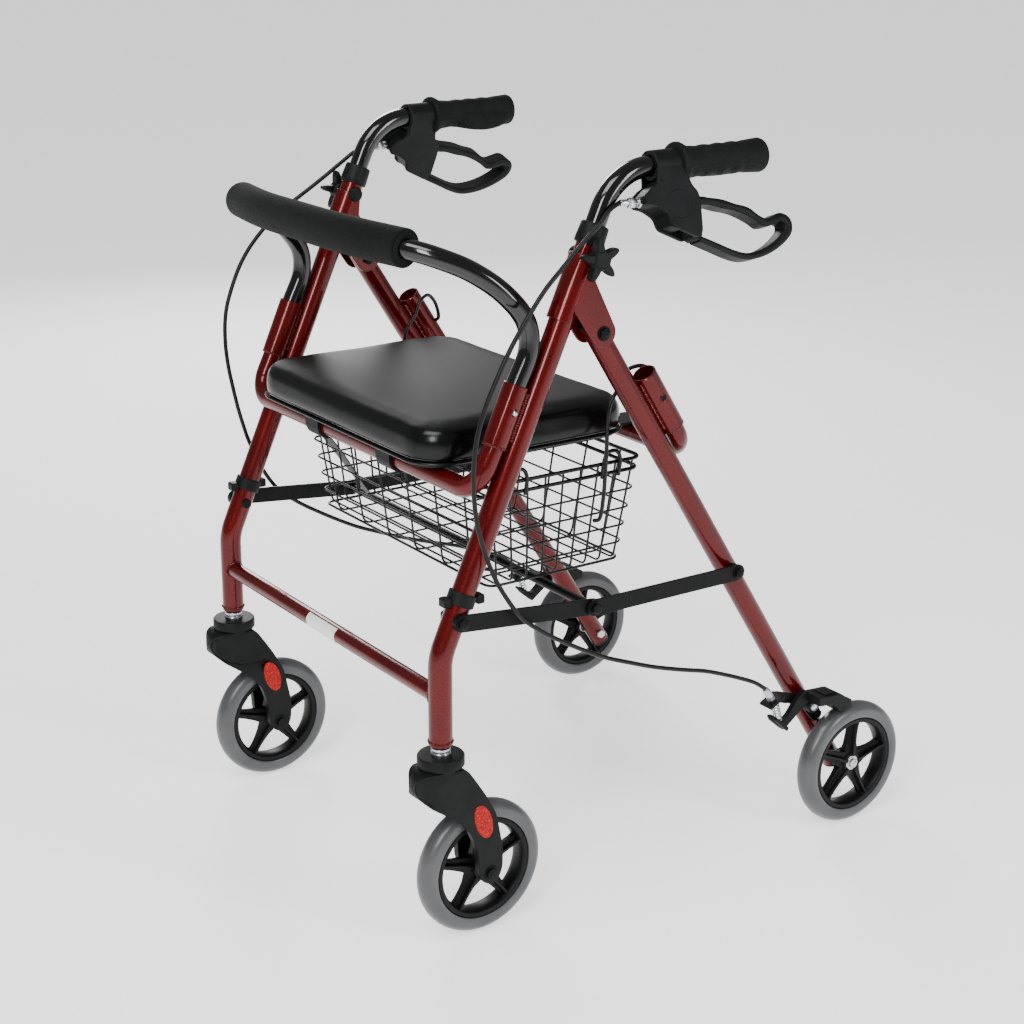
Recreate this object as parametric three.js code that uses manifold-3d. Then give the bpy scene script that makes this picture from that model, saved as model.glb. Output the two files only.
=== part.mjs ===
// Rollator walker: a folding tubular frame on four wheels, with a seat, a backrest, a wire basket
// and hand brakes.  Millimetres, +Z up, floor at z = 0.  Travel is towards -Y, the user stands at
// +Y, and the two side frames are mirror images across x = 0 (left = +X, right = -X).
import * as THREE from "three";
import { mergeVertices } from "three/addons/utils/BufferGeometryUtils.js";
import Module from "manifold-3d";

const wasm = await Module();
wasm.setup();

// ---------------------------------------------------------------- driving dimensions
const CENTRE_SHIFT = 5; // brings the middle of the whole walker to y = 0
const SIDE_X = 235; // plane of each side frame
const TUBE_R = 12.7; // legs
const SEAT_TUBE_R = 11; // cross tubes under the seat, handle posts and backrest
const BORE_R = 11.4; // bore that a post or the backrest slides in
const SLEEVE_R = 13.2;
const GAP = 0.3; // between pieces that touch

const LEG_TOP = [-118, 744]; // [y, z] of the front leg's open top end
const LEG_BEND = [-303, 327]; // where the sloping and the upright stretch meet
const LEG_BEND_R = 62;
const LEG_FOOT_Z = 229;
const COLLAR_R = 15.5;
const CROSS_TUBE_R = 9.5;
const CROSS_TUBE_Z = 283;

const PIVOT = [-112, 645]; // fold pivot between front and rear leg
const PIVOT_R = 14; // rounded end of the hinge bracket
const REAR_AXLE = [254, 76];
const REAR_FOOT_Z = 62;
const REAR_WHEEL_X = 270.5;

const WHEEL_R = 76;
const TYRE_HALF = 12.5;
const SPOKES = 5;
const SPOKE_T = 12;
const CASTER_TRAIL = 47;
const CASTER_AXLE = [LEG_BEND[0] + CASTER_TRAIL, WHEEL_R];

const LINK_FRONT = [-286.5, 366];
const LINK_MID = [-121, 349];
const LINK_REAR = [79, 348];
const FRONT_LINK_X = 252; // mid-plane of the front folding links
const REAR_LINK_X = 255.6;
const LINK_T = 3;
const LINK_HALF = 9; // half its width
const ROD_R = 5;

const SEAT_TUBE_Z = 496;
const FRONT_SEAT_TUBE_Y = -258.7;
const REAR_SEAT_TUBE_Y = 14.7;
const SEAT = { x: 192, y0: -292, y1: -14, z0: 508.6, z1: 555, corner: 46 };
const SEAT_BASE_T = 4;
const FRONT_SLEEVE = [546, 602]; // heights of the bottom and the mouth of a front sleeve
const REAR_SLEEVE = [531, 591];

const GRIP_Z = 808;
const GRIP = [-14, 103]; // from the flange to the end, along y
const POST_BEND_R = 66;

const FOAM_R = 20;
const FOAM_HALF = [[172, -301, 740], [90, -316, 742]]; // centre line from the foam's end inwards
const BAR_MIDDLE = [0, -320, 743];

const BASKET = { top: [190, -222, -6], bottom: [178, -204, -26], z0: 362, z1: 482, wall: 3 };

// ---------------------------------------------------------------- materials
const paint = (color, roughness, metalness) =>
  new THREE.MeshStandardMaterial({ color, roughness, metalness });
const FINISH = {
  frame: paint(0x8e1015, 0.25, 0.5),
  gloss_black: paint(0x0b0b0c, 0.15, 0.2),
  link_steel: paint(0x1c1c1d, 0.5, 0.4),
  moulded: paint(0x1b1c1d, 0.6, 0),
  rim: paint(0x101010, 0.5, 0),
  tyre: paint(0x6b6d72, 0.7, 0),
  rubber: paint(0x202122, 0.85, 0),
  foam: paint(0x17181a, 0.95, 0),
  vinyl: paint(0x151617, 0.45, 0),
  wire: paint(0x0d0d0e, 0.4, 0.1),
  zinc: paint(0xb9bbbd, 0.35, 0.9),
  webbing: paint(0x0a0a0a, 0.9, 0),
};

// ---------------------------------------------------------------- helpers
const group = new THREE.Group();
const v3 = (x, y, z) => new THREE.Vector3(x, y, z);

function add(name, geometry, finish) {
  const mesh = new THREE.Mesh(geometry, FINISH[finish]);
  mesh.name = name;
  group.add(mesh);
}

function solid(geometry) {
  const bare = geometry.clone();
  bare.deleteAttribute("normal");
  bare.deleteAttribute("uv");
  const merged = mergeVertices(bare, 1e-4);
  const positions = merged.attributes.position.array;
  const corners = merged.index.array;
  const kept = [];
  for (let i = 0; i < corners.length; i += 3) {
    const [a, b, c] = [corners[i], corners[i + 1], corners[i + 2]];
    if (a !== b && b !== c && c !== a) kept.push(a, b, c);
  }
  return new wasm.Manifold(
    new wasm.Mesh({
      numProp: 3,
      vertProperties: new Float32Array(positions),
      triVerts: new Uint32Array(kept),
    }),
  );
}

function geometryOf(manifold) {
  const mesh = manifold.getMesh();
  const geometry = new THREE.BufferGeometry();
  geometry.setAttribute("position", new THREE.BufferAttribute(new Float32Array(mesh.vertProperties), 3));
  geometry.setIndex(new THREE.BufferAttribute(new Uint32Array(mesh.triVerts), 1));
  return geometry;
}

const union = (list) => list.map(solid).reduce((whole, next) => whole.add(next));
const joined = (...list) => geometryOf(union(list));
const cut = (body, ...tools) => geometryOf(solid(body).subtract(union(tools)));

// Circle section for a tube swept along a path.
function disc(radius, sides = 16) {
  const shape = new THREE.Shape();
  for (let i = 0; i < sides; i += 1) {
    const angle = (i / sides) * 2 * Math.PI;
    const [x, y] = [radius * Math.cos(angle), radius * Math.sin(angle)];
    if (i === 0) shape.moveTo(x, y);
    else shape.lineTo(x, y);
  }
  shape.closePath();
  return shape;
}

const sweep = (shape, path, steps) =>
  new THREE.ExtrudeGeometry(shape, { steps, bevelEnabled: false, extrudePath: path });

// A run of straight lengths joined by arcs of one radius, sampled where it turns.
class BentLine extends THREE.Curve {
  constructor(corners, radius, arcSteps = 6) {
    super();
    this.points = [corners[0]];
    for (let i = 1; i < corners.length - 1; i += 1) {
      const toPrev = corners[i - 1].clone().sub(corners[i]).normalize();
      const toNext = corners[i + 1].clone().sub(corners[i]).normalize();
      const half = toPrev.angleTo(toNext) / 2;
      const reach = radius / Math.tan(half);
      const inward = toPrev.clone().add(toNext).normalize();
      const centre = corners[i].clone().addScaledVector(inward, radius / Math.sin(half));
      const start = corners[i].clone().addScaledVector(toPrev, reach).sub(centre);
      const end = corners[i].clone().addScaledVector(toNext, reach).sub(centre);
      const sweepAngle = start.angleTo(end);
      for (let k = 0; k <= arcSteps; k += 1) {
        const t = k / arcSteps;
        const a = Math.sin((1 - t) * sweepAngle) / Math.sin(sweepAngle);
        const b = Math.sin(t * sweepAngle) / Math.sin(sweepAngle);
        this.points.push(start.clone().multiplyScalar(a).addScaledVector(end, b).add(centre));
      }
    }
    this.points.push(corners[corners.length - 1]);
  }
  get steps() {
    return this.points.length - 1;
  }
  // The parameter runs evenly over the sampled points, so each step ends on one of them.
  getPoint(t, target = new THREE.Vector3()) {
    const place = Math.min(t, 1) * this.steps;
    const i = Math.min(Math.floor(place), this.steps - 1);
    return target.copy(this.points[i]).lerp(this.points[i + 1], place - i);
  }
  getPointAt(t, target) {
    return this.getPoint(t, target);
  }
  getTangent(t, target = new THREE.Vector3()) {
    const i = Math.round(Math.min(t, 1) * this.steps);
    const before = this.points[Math.max(i - 1, 0)];
    const after = this.points[Math.min(i + 1, this.steps)];
    const here = this.points[i];
    const back = i > 0 ? here.clone().sub(before).normalize() : new THREE.Vector3();
    const ahead = i < this.steps ? after.clone().sub(here).normalize() : new THREE.Vector3();
    return target.copy(back.add(ahead).normalize());
  }
  getTangentAt(t, target) {
    return this.getTangent(t, target);
  }
}

function bentTube(radius, corners, bendRadius, { sides = 16, arcSteps = 6 } = {}) {
  const path = new BentLine(corners, bendRadius, arcSteps);
  return sweep(disc(radius, sides), path, path.steps);
}

const rod = (radius, from, to, sides = 16) =>
  sweep(disc(radius, sides), new THREE.LineCurve3(from, to), 1);
const smooth = (points) => new THREE.CatmullRomCurve3(points.map((p) => v3(...p)), false, "centripetal");

// Round body along x from a half profile of [distance along x, radius] pairs.
function turned(profile, x, y, z, sides = 24) {
  const outline = profile.map(([along, radius]) => new THREE.Vector2(radius, along));
  const geometry = new THREE.LatheGeometry(outline, sides);
  geometry.rotateZ(-Math.PI / 2);
  geometry.translate(x, y, z);
  return geometry;
}

// Stands a flat extrusion up in a y-z plane: its x becomes y, its y becomes z, its depth becomes x.
const uprightAt = (x, y = 0, z = 0) =>
  new THREE.Matrix4().set(0, 0, 1, x, 1, 0, 0, y, 0, 1, 0, z, 0, 0, 0, 1);

// Flat plate in a y-z plane, from an outline of [y, z] pairs, centred on x.
function plate(outline, x, thickness, holes = []) {
  const shape = new THREE.Shape(outline.map(([y, z]) => new THREE.Vector2(y, z)));
  for (const [y, z, r] of holes) shape.holes.push(new THREE.Path().absarc(y, z, r, 0, 2 * Math.PI));
  const options = { depth: thickness, bevelEnabled: false, curveSegments: 8 };
  return new THREE.ExtrudeGeometry(shape, options).applyMatrix4(uprightAt(x - thickness / 2));
}

// Box between two limits along each axis.
const block = (x0, x1, y0, y1, z0, z1) =>
  new THREE.BoxGeometry(x1 - x0, y1 - y0, z1 - z0).translate((x0 + x1) / 2, (y0 + y1) / 2, (z0 + z1) / 2);

// Outline of a flat bar with round ends between two points of the y-z plane.
function slotOutline([y0, z0], [y1, z1], radius, arc = 6) {
  const heading = Math.atan2(z1 - z0, y1 - y0);
  const outline = [];
  for (const [y, z, turn] of [[y1, z1, heading - Math.PI / 2], [y0, z0, heading + Math.PI / 2]]) {
    for (let k = 0; k <= arc; k += 1) {
      const angle = turn + (k / arc) * Math.PI;
      outline.push([y + radius * Math.cos(angle), z + radius * Math.sin(angle)]);
    }
  }
  return outline;
}

// ---------------------------------------------------------------- leg directions
const legSlope = (LEG_TOP[0] - LEG_BEND[0]) / (LEG_TOP[1] - LEG_BEND[1]); // y per z, front leg
const legLength = Math.hypot(legSlope, 1);
const frontLegY = (z) => LEG_TOP[0] + (z - LEG_TOP[1]) * legSlope;
const upLeg = v3(0, legSlope / legLength, 1 / legLength);

const rearSlope = (REAR_AXLE[0] - PIVOT[0]) / (REAR_AXLE[1] - PIVOT[1]);
const rearLength = Math.hypot(rearSlope, 1);
const rearLegY = (z) => PIVOT[0] + (z - PIVOT[1]) * rearSlope;
const upRear = v3(0, rearSlope / rearLength, 1 / rearLength);

const SOCKET_OFFSET = TUBE_R + SLEEVE_R + GAP; // from a leg's axis to its sleeve's axis
const frontSocketY = (z) => frontLegY(z) - SOCKET_OFFSET * legLength;
const rearSocketY = (z) => rearLegY(z) + SOCKET_OFFSET * rearLength;

const KNOB = [frontLegY(724), 724]; // [y, z] of the knob that clamps the handle post
const mirrored = Object.entries({ left: 1, right: -1 });

// Mirror image across x = 0, with its faces still pointing out.
function flipped(geometry) {
  const copy = geometry.clone().scale(-1, 1, 1);
  if (copy.index) {
    const corners = copy.index.array;
    for (let i = 0; i < corners.length; i += 3) [corners[i], corners[i + 1]] = [corners[i + 1], corners[i]];
    return copy;
  }
  const p = copy.attributes.position.array;
  for (let i = 0; i < p.length; i += 9) {
    for (let k = 0; k < 3; k += 1) [p[i + k], p[i + 3 + k]] = [p[i + 3 + k], p[i + k]];
  }
  return copy;
}
const onSide = (s, geometry) => (s > 0 ? geometry : flipped(geometry));

// ---------------------------------------------------------------- front frame
for (const [side, s] of mirrored) {
  const x = s * SIDE_X;
  const top = v3(x, ...LEG_TOP);
  const leg = bentTube(TUBE_R, [v3(x, LEG_BEND[0], LEG_FOOT_Z), v3(x, ...LEG_BEND), top], LEG_BEND_R);
  const beyond = (distance) => top.clone().addScaledVector(upLeg, distance);
  const bore = rod(BORE_R, beyond(-200), beyond(5));
  // The welded pivot bracket: two cheeks that wrap the leg and hold the rear leg between them.
  const cheekX = TUBE_R + 1.6;
  const cheek = [[frontLegY(722) - 13, 722 + 5], [frontLegY(722) + 13, 716], [PIVOT[0] + 11, PIVOT[1] + 9]];
  for (let k = 0; k <= 6; k += 1) {
    const angle = 0.65 - (k / 6) * Math.PI;
    cheek.push([PIVOT[0] + PIVOT_R * Math.cos(angle), PIVOT[1] + PIVOT_R * Math.sin(angle)]);
  }
  cheek.push([frontLegY(676) - 2, 668], [frontLegY(676) - 15, 676]);
  const cheeks = [-1, 1].map((k) => plate(cheek, x + k * cheekX, 3.4, [[...PIVOT, 4.2]]));
  const studHole = rod(3.8, v3(x, ...KNOB), v3(x + s * 20, ...KNOB), 10);
  const body = solid(leg).add(union(cheeks)).subtract(union([bore, studHole]));
  add(`front_leg_${side}`, geometryOf(body), "frame");

  const collar = rod(COLLAR_R, beyond(-10), beyond(12), 20);
  const throughCollar = rod(SEAT_TUBE_R + GAP, beyond(-10), beyond(20), 16);
  const legRecess = rod(TUBE_R + GAP, beyond(-20), beyond(GAP));
  add(`collar_${side}`, cut(collar, throughCollar, legRecess), "moulded");
}

const crossTubeEnd = v3(SIDE_X - TUBE_R - GAP, LEG_BEND[0], CROSS_TUBE_Z);
const crossTube = rod(CROSS_TUBE_R, crossTubeEnd.clone().setX(-crossTubeEnd.x), crossTubeEnd, 12);
add("front_cross_tube", crossTube, "frame");

const SLEEVE_HOLE = 0.55; // how far up its sleeve the button's hole is
const HOLE_R = 3.6;
// A seat tube: a U under the seat whose ends stand in sleeves welded beside the legs.
function seatTube(socketY, crossY, up, sleeve) {
  const ends = sleeve.map((z) => v3(SIDE_X, socketY(z), z));
  const low = v3(SIDE_X, crossY, SEAT_TUBE_Z);
  const corners = [ends[0].clone(), low, low.clone().setX(-SIDE_X), ends[0].clone().setX(-SIDE_X)];
  const tube = bentTube(SEAT_TUBE_R, corners, 30, { arcSteps: 5 });
  const sleeves = [];
  const bores = [];
  for (const [, s] of mirrored) {
    const [bottom, mouth] = ends.map((end) => end.clone().setX(s * end.x));
    sleeves.push(rod(SLEEVE_R, bottom.clone().addScaledVector(up, -4), mouth));
    bores.push(rod(BORE_R, bottom.clone().addScaledVector(up, 6), mouth.clone().addScaledVector(up, 5)));
    const hole = bottom.clone().lerp(mouth, SLEEVE_HOLE);
    bores.push(rod(HOLE_R, hole, hole.clone().setX(s * (SIDE_X + 30)), 10));
  }
  return geometryOf(solid(tube).add(union(sleeves)).subtract(union(bores)));
}
add("front_seat_tube", seatTube(frontSocketY, FRONT_SEAT_TUBE_Y, upLeg, FRONT_SLEEVE), "frame");

// ---------------------------------------------------------------- rear frame
for (const [side, s] of mirrored) {
  const x = s * SIDE_X;
  const foot = v3(x, rearLegY(REAR_FOOT_Z), REAR_FOOT_Z);
  const head = v3(x, ...PIVOT).addScaledVector(upRear, 11);
  const leg = rod(TUBE_R - 0.4, foot, head);
  const across = (y, z, r) => rod(r, v3(x - 30, y, z), v3(x + 30, y, z), 12);
  const holes = [across(...PIVOT, 4.3), across(...REAR_AXLE, 4.8), across(...LINK_REAR, 3.6)];
  add(`rear_leg_${side}`, cut(leg, ...holes), "frame");
}
add("rear_seat_tube", seatTube(rearSocketY, REAR_SEAT_TUBE_Y, upRear, REAR_SLEEVE), "frame");

// ---------------------------------------------------------------- pivots and folding links
// A bolt along x: a nut on the inner face, the shank between the faces, the head on the outer face.
function bolt([y, z], inner, outer, shank) {
  const [head, headT] = [6.5, 4.5];
  const headFace = headT + outer - inner;
  const profile = [[0, 0], [0, head - 0.8], [headT, head - 0.8], [headT, shank], [headFace, shank],
    [headFace, head], [headFace + headT, head - 1.5], [headFace + headT, 0]];
  return turned(profile, inner - headT, y, z, 10);
}

const CHEEK_FACE = TUBE_R + 3.3 + GAP;
for (const [side, s] of mirrored) {
  const pivotBolt = bolt(PIVOT, SIDE_X - CHEEK_FACE, SIDE_X + CHEEK_FACE, 4);
  add(`pivot_bolt_${side}`, onSide(s, pivotBolt), "zinc");

  const legFace = SIDE_X + TUBE_R + GAP;
  const frontSpacerT = FRONT_LINK_X - LINK_T / 2 - GAP - legFace;
  const frontSpacer = turned([[0, 3.3], [0, 11], [frontSpacerT, 11], [frontSpacerT, 3.3], [0, 3.3]],
    legFace, ...LINK_FRONT, 16);
  const frontHead = FRONT_LINK_X + 2 - legFace;
  const frontBolt = turned([[0, 0], [0, 6.5], [frontHead, 3.25], [frontHead, 6.5], [frontHead + 4.5, 5],
    [frontHead + 4.5, 0]], legFace, ...LINK_FRONT, 10);
  add(`front_link_bolt_${side}`, onSide(s, joined(frontSpacer, frontBolt)), "link_steel");

  const rearBolt = bolt(LINK_REAR, SIDE_X - TUBE_R - GAP, REAR_LINK_X + LINK_T / 2 + GAP, 3.2);
  const rearSpacerT = REAR_LINK_X - LINK_T / 2 - GAP - legFace;
  const rearSpacer = turned([[0, 3], [0, 8], [rearSpacerT, 8], [rearSpacerT, 3], [0, 3]],
    legFace, ...LINK_REAR, 12);
  add(`rear_link_bolt_${side}`, onSide(s, joined(rearBolt, rearSpacer)), "link_steel");

  const frontOutline = slotOutline(LINK_FRONT, LINK_MID, LINK_HALF);
  const frontLink = plate(frontOutline, FRONT_LINK_X, LINK_T, [[...LINK_FRONT, 5.4]]);
  add(`front_link_${side}`, onSide(s, frontLink), "link_steel");

  const rearOutline = slotOutline(LINK_MID, LINK_REAR, LINK_HALF);
  const rearLink = plate(rearOutline, REAR_LINK_X, LINK_T, [[...LINK_REAR, 3.6]]);
  const midHead = turned([[0, 0], [0, 6.5], [5, 5], [5, 0]], REAR_LINK_X + 1, ...LINK_MID, 10);
  add(`rear_link_${side}`, onSide(s, joined(rearLink, midHead)), "link_steel");
}
const rodEnd = FRONT_LINK_X - LINK_T / 2 - GAP;
add("cross_rod", rod(ROD_R, v3(-rodEnd, ...LINK_MID), v3(rodEnd, ...LINK_MID), 10), "link_steel");

// ---------------------------------------------------------------- wheels
// Rim of a moulded wheel: a channel ring, a hub tube and five tapered spokes.
function rim(x, [y, z], hubEnd) {
  const ring = turned([[-11, 52], [-11, 57], [-8, 59], [8, 59], [11, 57], [11, 52], [-11, 52]], x, y, z, 30);
  const hub = turned([[-13, 4.9], [-13, 13], [hubEnd, 13], [hubEnd, 4.9], [-13, 4.9]], x, y, z, 15);
  const taper = [[-9, 10], [9, 10], [4.5, 54], [-4.5, 54]].map((corner) => new THREE.Vector2(...corner));
  const spokes = [];
  for (let k = 0; k < SPOKES; k += 1) {
    const spoke = new THREE.ExtrudeGeometry(new THREE.Shape(taper), { depth: SPOKE_T, bevelEnabled: false });
    spoke.translate(0, 0, -SPOKE_T / 2);
    spoke.rotateZ((k / SPOKES) * 2 * Math.PI);
    spokes.push(spoke.applyMatrix4(uprightAt(x, y, z)));
  }
  return joined(ring, hub, ...spokes);
}

function tyre(x, [y, z]) {
  const profile = [[1 - TYRE_HALF, 59.4], [-TYRE_HALF, 62], [-TYRE_HALF, 66]];
  for (let k = 0; k <= 6; k += 1) {
    const angle = Math.PI * (0.92 - (0.84 * k) / 6);
    profile.push([TYRE_HALF * Math.cos(angle), WHEEL_R - 9 + 9 * Math.sin(angle)]);
  }
  profile.push([TYRE_HALF, 66], [TYRE_HALF, 62], [TYRE_HALF - 1, 59.4], [1 - TYRE_HALF, 59.4]);
  return turned(profile, x, y, z, 36);
}

const wheels = [["front", SIDE_X, CASTER_AXLE, 13], ["rear", REAR_WHEEL_X, REAR_AXLE, 8.7]];
for (const [side, s] of mirrored) {
  for (const [end, x, axle, hubEnd] of wheels) {
    add(`${end}_rim_${side}`, onSide(s, rim(x, axle, hubEnd)), "rim");
    add(`${end}_tyre_${side}`, onSide(s, tyre(x, axle)), "tyre");
  }
  const rearAxle = turned([[0, 0], [0, 6.5], [5, 6.5], [5, 4.5], [30.6, 4.5], [30.6, 8], [40.2, 8],
    [40.2, 4.5], [62.5, 4.5], [62.5, 7.5], [67, 6], [67, 0]], SIDE_X - TUBE_R - GAP - 5, ...REAR_AXLE, 12);
  add(`rear_axle_${side}`, onSide(s, rearAxle), "zinc");
}

// Caster fork: stem, crown disc, shoulder and two curved legs with the axle across them.
const FORK = [
  [-329, 206], [-337, 200], [-339, 192], [-335, 183], [-315, 162], [-295, 148], [-280, 128], [-272, 104],
  [-271, 78], [-265, 66], [-256, 63], [-247, 66], [-241, 78], [-241, 102], [-250, 145], [-262, 171],
  [-277, 200], [-283, 206],
];
const SHOULDER_Z = 160; // above this height the two legs are one block
for (const [side, s] of mirrored) {
  const shoulder = plate(FORK.filter(([, z]) => z >= SHOULDER_Z), SIDE_X, 42);
  const pieces = [shoulder, plate(FORK, SIDE_X - 20, 9), plate(FORK, SIDE_X + 20, 9)];
  const pillar = new THREE.LatheGeometry([
    [0, 200], [24, 200], [24, 207], [25, 208], [25, 218], [24, 219], [10.5, 219], [10.5, 226], [7, 226.5],
    [7, LEG_FOOT_Z - GAP], [0, LEG_FOOT_Z - GAP],
  ].map(([r, z]) => new THREE.Vector2(r, z)), 20);
  pillar.rotateX(Math.PI / 2);
  pillar.translate(SIDE_X, LEG_BEND[0], 0);
  pieces.push(pillar);
  const axle = turned([[0, 0], [0, 6.5], [4.5, 6.5], [4.5, 4.5], [53.5, 4.5], [53.5, 6.5], [58, 5], [58, 0]],
    SIDE_X - 29, ...CASTER_AXLE, 12);
  pieces.push(axle);
  add(`caster_fork_${side}`, onSide(s, joined(...pieces)), "moulded");
}

// ---------------------------------------------------------------- handles
const postCorner = v3(0, LEG_TOP[0] + (GRIP_Z - LEG_TOP[1]) * legSlope, GRIP_Z);
for (const [side, s] of mirrored) {
  const x = s * SIDE_X;
  const corner = postCorner.clone().setX(x);
  const bottom = v3(x, ...LEG_TOP).addScaledVector(upLeg, -150);
  const end = v3(x, GRIP[1] - 6, GRIP_Z);
  const post = bentTube(SEAT_TUBE_R, [bottom, corner, end], POST_BEND_R, { arcSteps: 8 });
  add(`handle_post_${side}`, post, "gloss_black");

  // Grip: a sleeve with a flange at its inner end, open only at that end.
  const grip = new THREE.LatheGeometry([
    [SEAT_TUBE_R + GAP, 0], [22, 0], [22, 3], [17.5, 8], [15.5, 22], [16.2, 60], [17, 100], [15, 112],
    [9, 117], [0, 117], [0, 112], [SEAT_TUBE_R + GAP, 112], [SEAT_TUBE_R + GAP, 0],
  ].map(([r, along]) => new THREE.Vector2(r, along)), 20);
  grip.translate(x, GRIP[0], GRIP_Z);
  add(`grip_${side}`, grip, "rubber");
}

// Brake housing: a clamp band round the post and a flat body below it that holds the lever.  Both
// are drawn upright below the grip, then rolled outward about the grip's axis.
const BRAKE_ROLL = (20 * Math.PI) / 180;
const HOUSING = [
  [-47, 806], [-50, 788], [-58, 784], [-69, 777], [-69, 768], [-56, 764], [-43, 753], [-42, 743], [-11, 728],
  [-4, 733], [0, 761], [0, 774], [-8, 784], [-9, 806],
];
const HOUSING_W = 30;
const LEVER_ROOT = [
  [-20, 761], [-12, 773], [-2, 774], [5, 769], [-2.4, 730], [-7, 725], [-14, 730], [-18, 750],
];
// Lever loop: a band that leaves the housing under the grip, turns at its tip and comes back low.
const LEVER_OUTER = [
  [4.2, 769], [30, 763], [68, 750], [86, 739], [111, 742], [122, 732], [119, 718], [89, 704], [51, 699],
  [34, 705], [-7, 725],
];
const LEVER_INNER = [
  [-2, 731], [37, 711], [53, 706], [85, 711], [109, 721], [111, 728], [107, 734], [86, 731], [65, 744],
  [28, 756], [3.5, 762],
];
const LEVER_W = 20;
const rolled = (geometry) =>
  geometry.translate(-SIDE_X, 0, -GRIP_Z).rotateY(-BRAKE_ROLL).translate(SIDE_X, 0, GRIP_Z);
for (const [side, s] of mirrored) {
  const face = rolled(plate(HOUSING, SIDE_X, HOUSING_W));
  const band = rod(15.8, v3(SIDE_X, -47, GRIP_Z), v3(SIDE_X, GRIP[0] - GAP, GRIP_Z), 20);
  const post = bentTube(SEAT_TUBE_R + GAP, [v3(SIDE_X, -140, 697), postCorner.clone().setX(SIDE_X),
    v3(SIDE_X, 40, GRIP_Z)], POST_BEND_R, { arcSteps: 8 });
  const adjuster = rolled(rod(4.5, v3(SIDE_X, -66, 772), v3(SIDE_X, -92, 774), 10));
  // Slot that the lever's root turns in.
  const slot = rolled(block(SIDE_X - 10.5, SIDE_X + 10.5, -25, 12, 722, 779));
  const underGrip = rod(22.4, v3(SIDE_X, GRIP[0] - GAP, GRIP_Z), v3(SIDE_X, 30, GRIP_Z), 20);
  const housing = solid(face).add(union([band, adjuster])).subtract(union([post, slot, underGrip]));
  add(`brake_housing_${side}`, onSide(s, geometryOf(housing)), "moulded");

  const strip = rolled(plate([...LEVER_OUTER, ...LEVER_INNER], SIDE_X, LEVER_W));
  const root = rolled(plate(LEVER_ROOT, SIDE_X, LEVER_W));
  add(`brake_lever_${side}`, onSide(s, joined(strip, root)), "moulded");
}

// Star knob that clamps the handle post: lobes on a hub, with a stud through the leg's wall.  Below it
// a clip round the leg holds the brake cable.
const LOBES = 5;
const LOBE_REACH = 18;
const CLIP_Z = 386;
for (const [side, s] of mirrored) {
  const lobes = [];
  for (let k = 0; k < LOBES; k += 1) {
    const angle = (k / LOBES) * 2 * Math.PI + 0.3;
    const tip = [KNOB[0] + LOBE_REACH * Math.cos(angle), KNOB[1] + LOBE_REACH * Math.sin(angle)];
    lobes.push(plate(slotOutline(KNOB, tip, 4.6, 4), SIDE_X + 26, 10));
  }
  const hub = turned([[0, 0], [0, 8], [6, 11], [17, 11], [19, 8], [19, 0]], SIDE_X + 16.4, ...KNOB, 15);
  const stud = turned([[0, 0], [0, 3.4], [8, 3.4], [8, 0]], SIDE_X + 11.4, ...KNOB, 8);
  add(`height_knob_${side}`, onSide(s, joined(hub, stud, ...lobes)), "moulded");

  const clipUp = upLeg.clone().multiplyScalar(7);
  const clipAt = v3(SIDE_X, frontLegY(CLIP_Z), CLIP_Z);
  const [low, high] = [clipAt.clone().sub(clipUp), clipAt.clone().add(clipUp)];
  const ring = rod(15.4, low, high, 20);
  const ear = block(SIDE_X - 5, SIDE_X + 5, clipAt.y - 23, clipAt.y - 12, CLIP_Z - 6, CLIP_Z + 5);
  const hole = rod(TUBE_R + GAP, low.clone().sub(clipUp), high.clone().add(clipUp), 20);
  const clip = union([ring, ear]).subtract(solid(hole));
  add(`cable_clip_${side}`, onSide(s, geometryOf(clip)), "moulded");
}

// ---------------------------------------------------------------- backrest
const BUTTON_Z = FRONT_SLEEVE[0] + SLEEVE_HOLE * (FRONT_SLEEVE[1] - FRONT_SLEEVE[0]);
const BUTTON = [frontSocketY(BUTTON_Z), BUTTON_Z];
const BACKREST_R = SEAT_TUBE_R - 0.2;
const BAR_STEPS = 46;
// Half of a line, its middle point, and the other half.
const bothWays = (half) => [...half, BAR_MIDDLE, ...half.map(([x, y, z]) => [-x, y, z]).reverse()];
// Half of the bar, from the sleeve up round the bend to the foam.
const inSleeve = [556, 600, 636].map((z) => [SIDE_X, frontSocketY(z), z]);
const roundBend = [[234, -197, 664], [230, -220, 694], [217, -252, 719], [196, -283, 734]];
const barPath = smooth(bothWays([...inSleeve, ...roundBend, ...FOAM_HALF]));
const barTube = sweep(disc(BACKREST_R, 12), barPath, BAR_STEPS);
const pocket = rod(HOLE_R, v3(SIDE_X + 2, ...BUTTON), v3(SIDE_X + 20, ...BUTTON), 10);
add("backrest_tube", cut(barTube, pocket, flipped(pocket)), "gloss_black");

const foamBore = sweep(disc(SEAT_TUBE_R + 1, 12), barPath, BAR_STEPS);
const foam = sweep(disc(FOAM_R, 16), smooth(bothWays(FOAM_HALF)), 10);
add("backrest_foam", cut(foam, foamBore), "foam");

for (const [side, s] of mirrored) {
  const button = turned([[0, 0], [0, 3.1], [9.5, 3.1], [11, 2], [11.5, 0]], SIDE_X + 5.5, ...BUTTON, 12);
  add(`snap_button_${side}`, onSide(s, button), "zinc");
}

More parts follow.
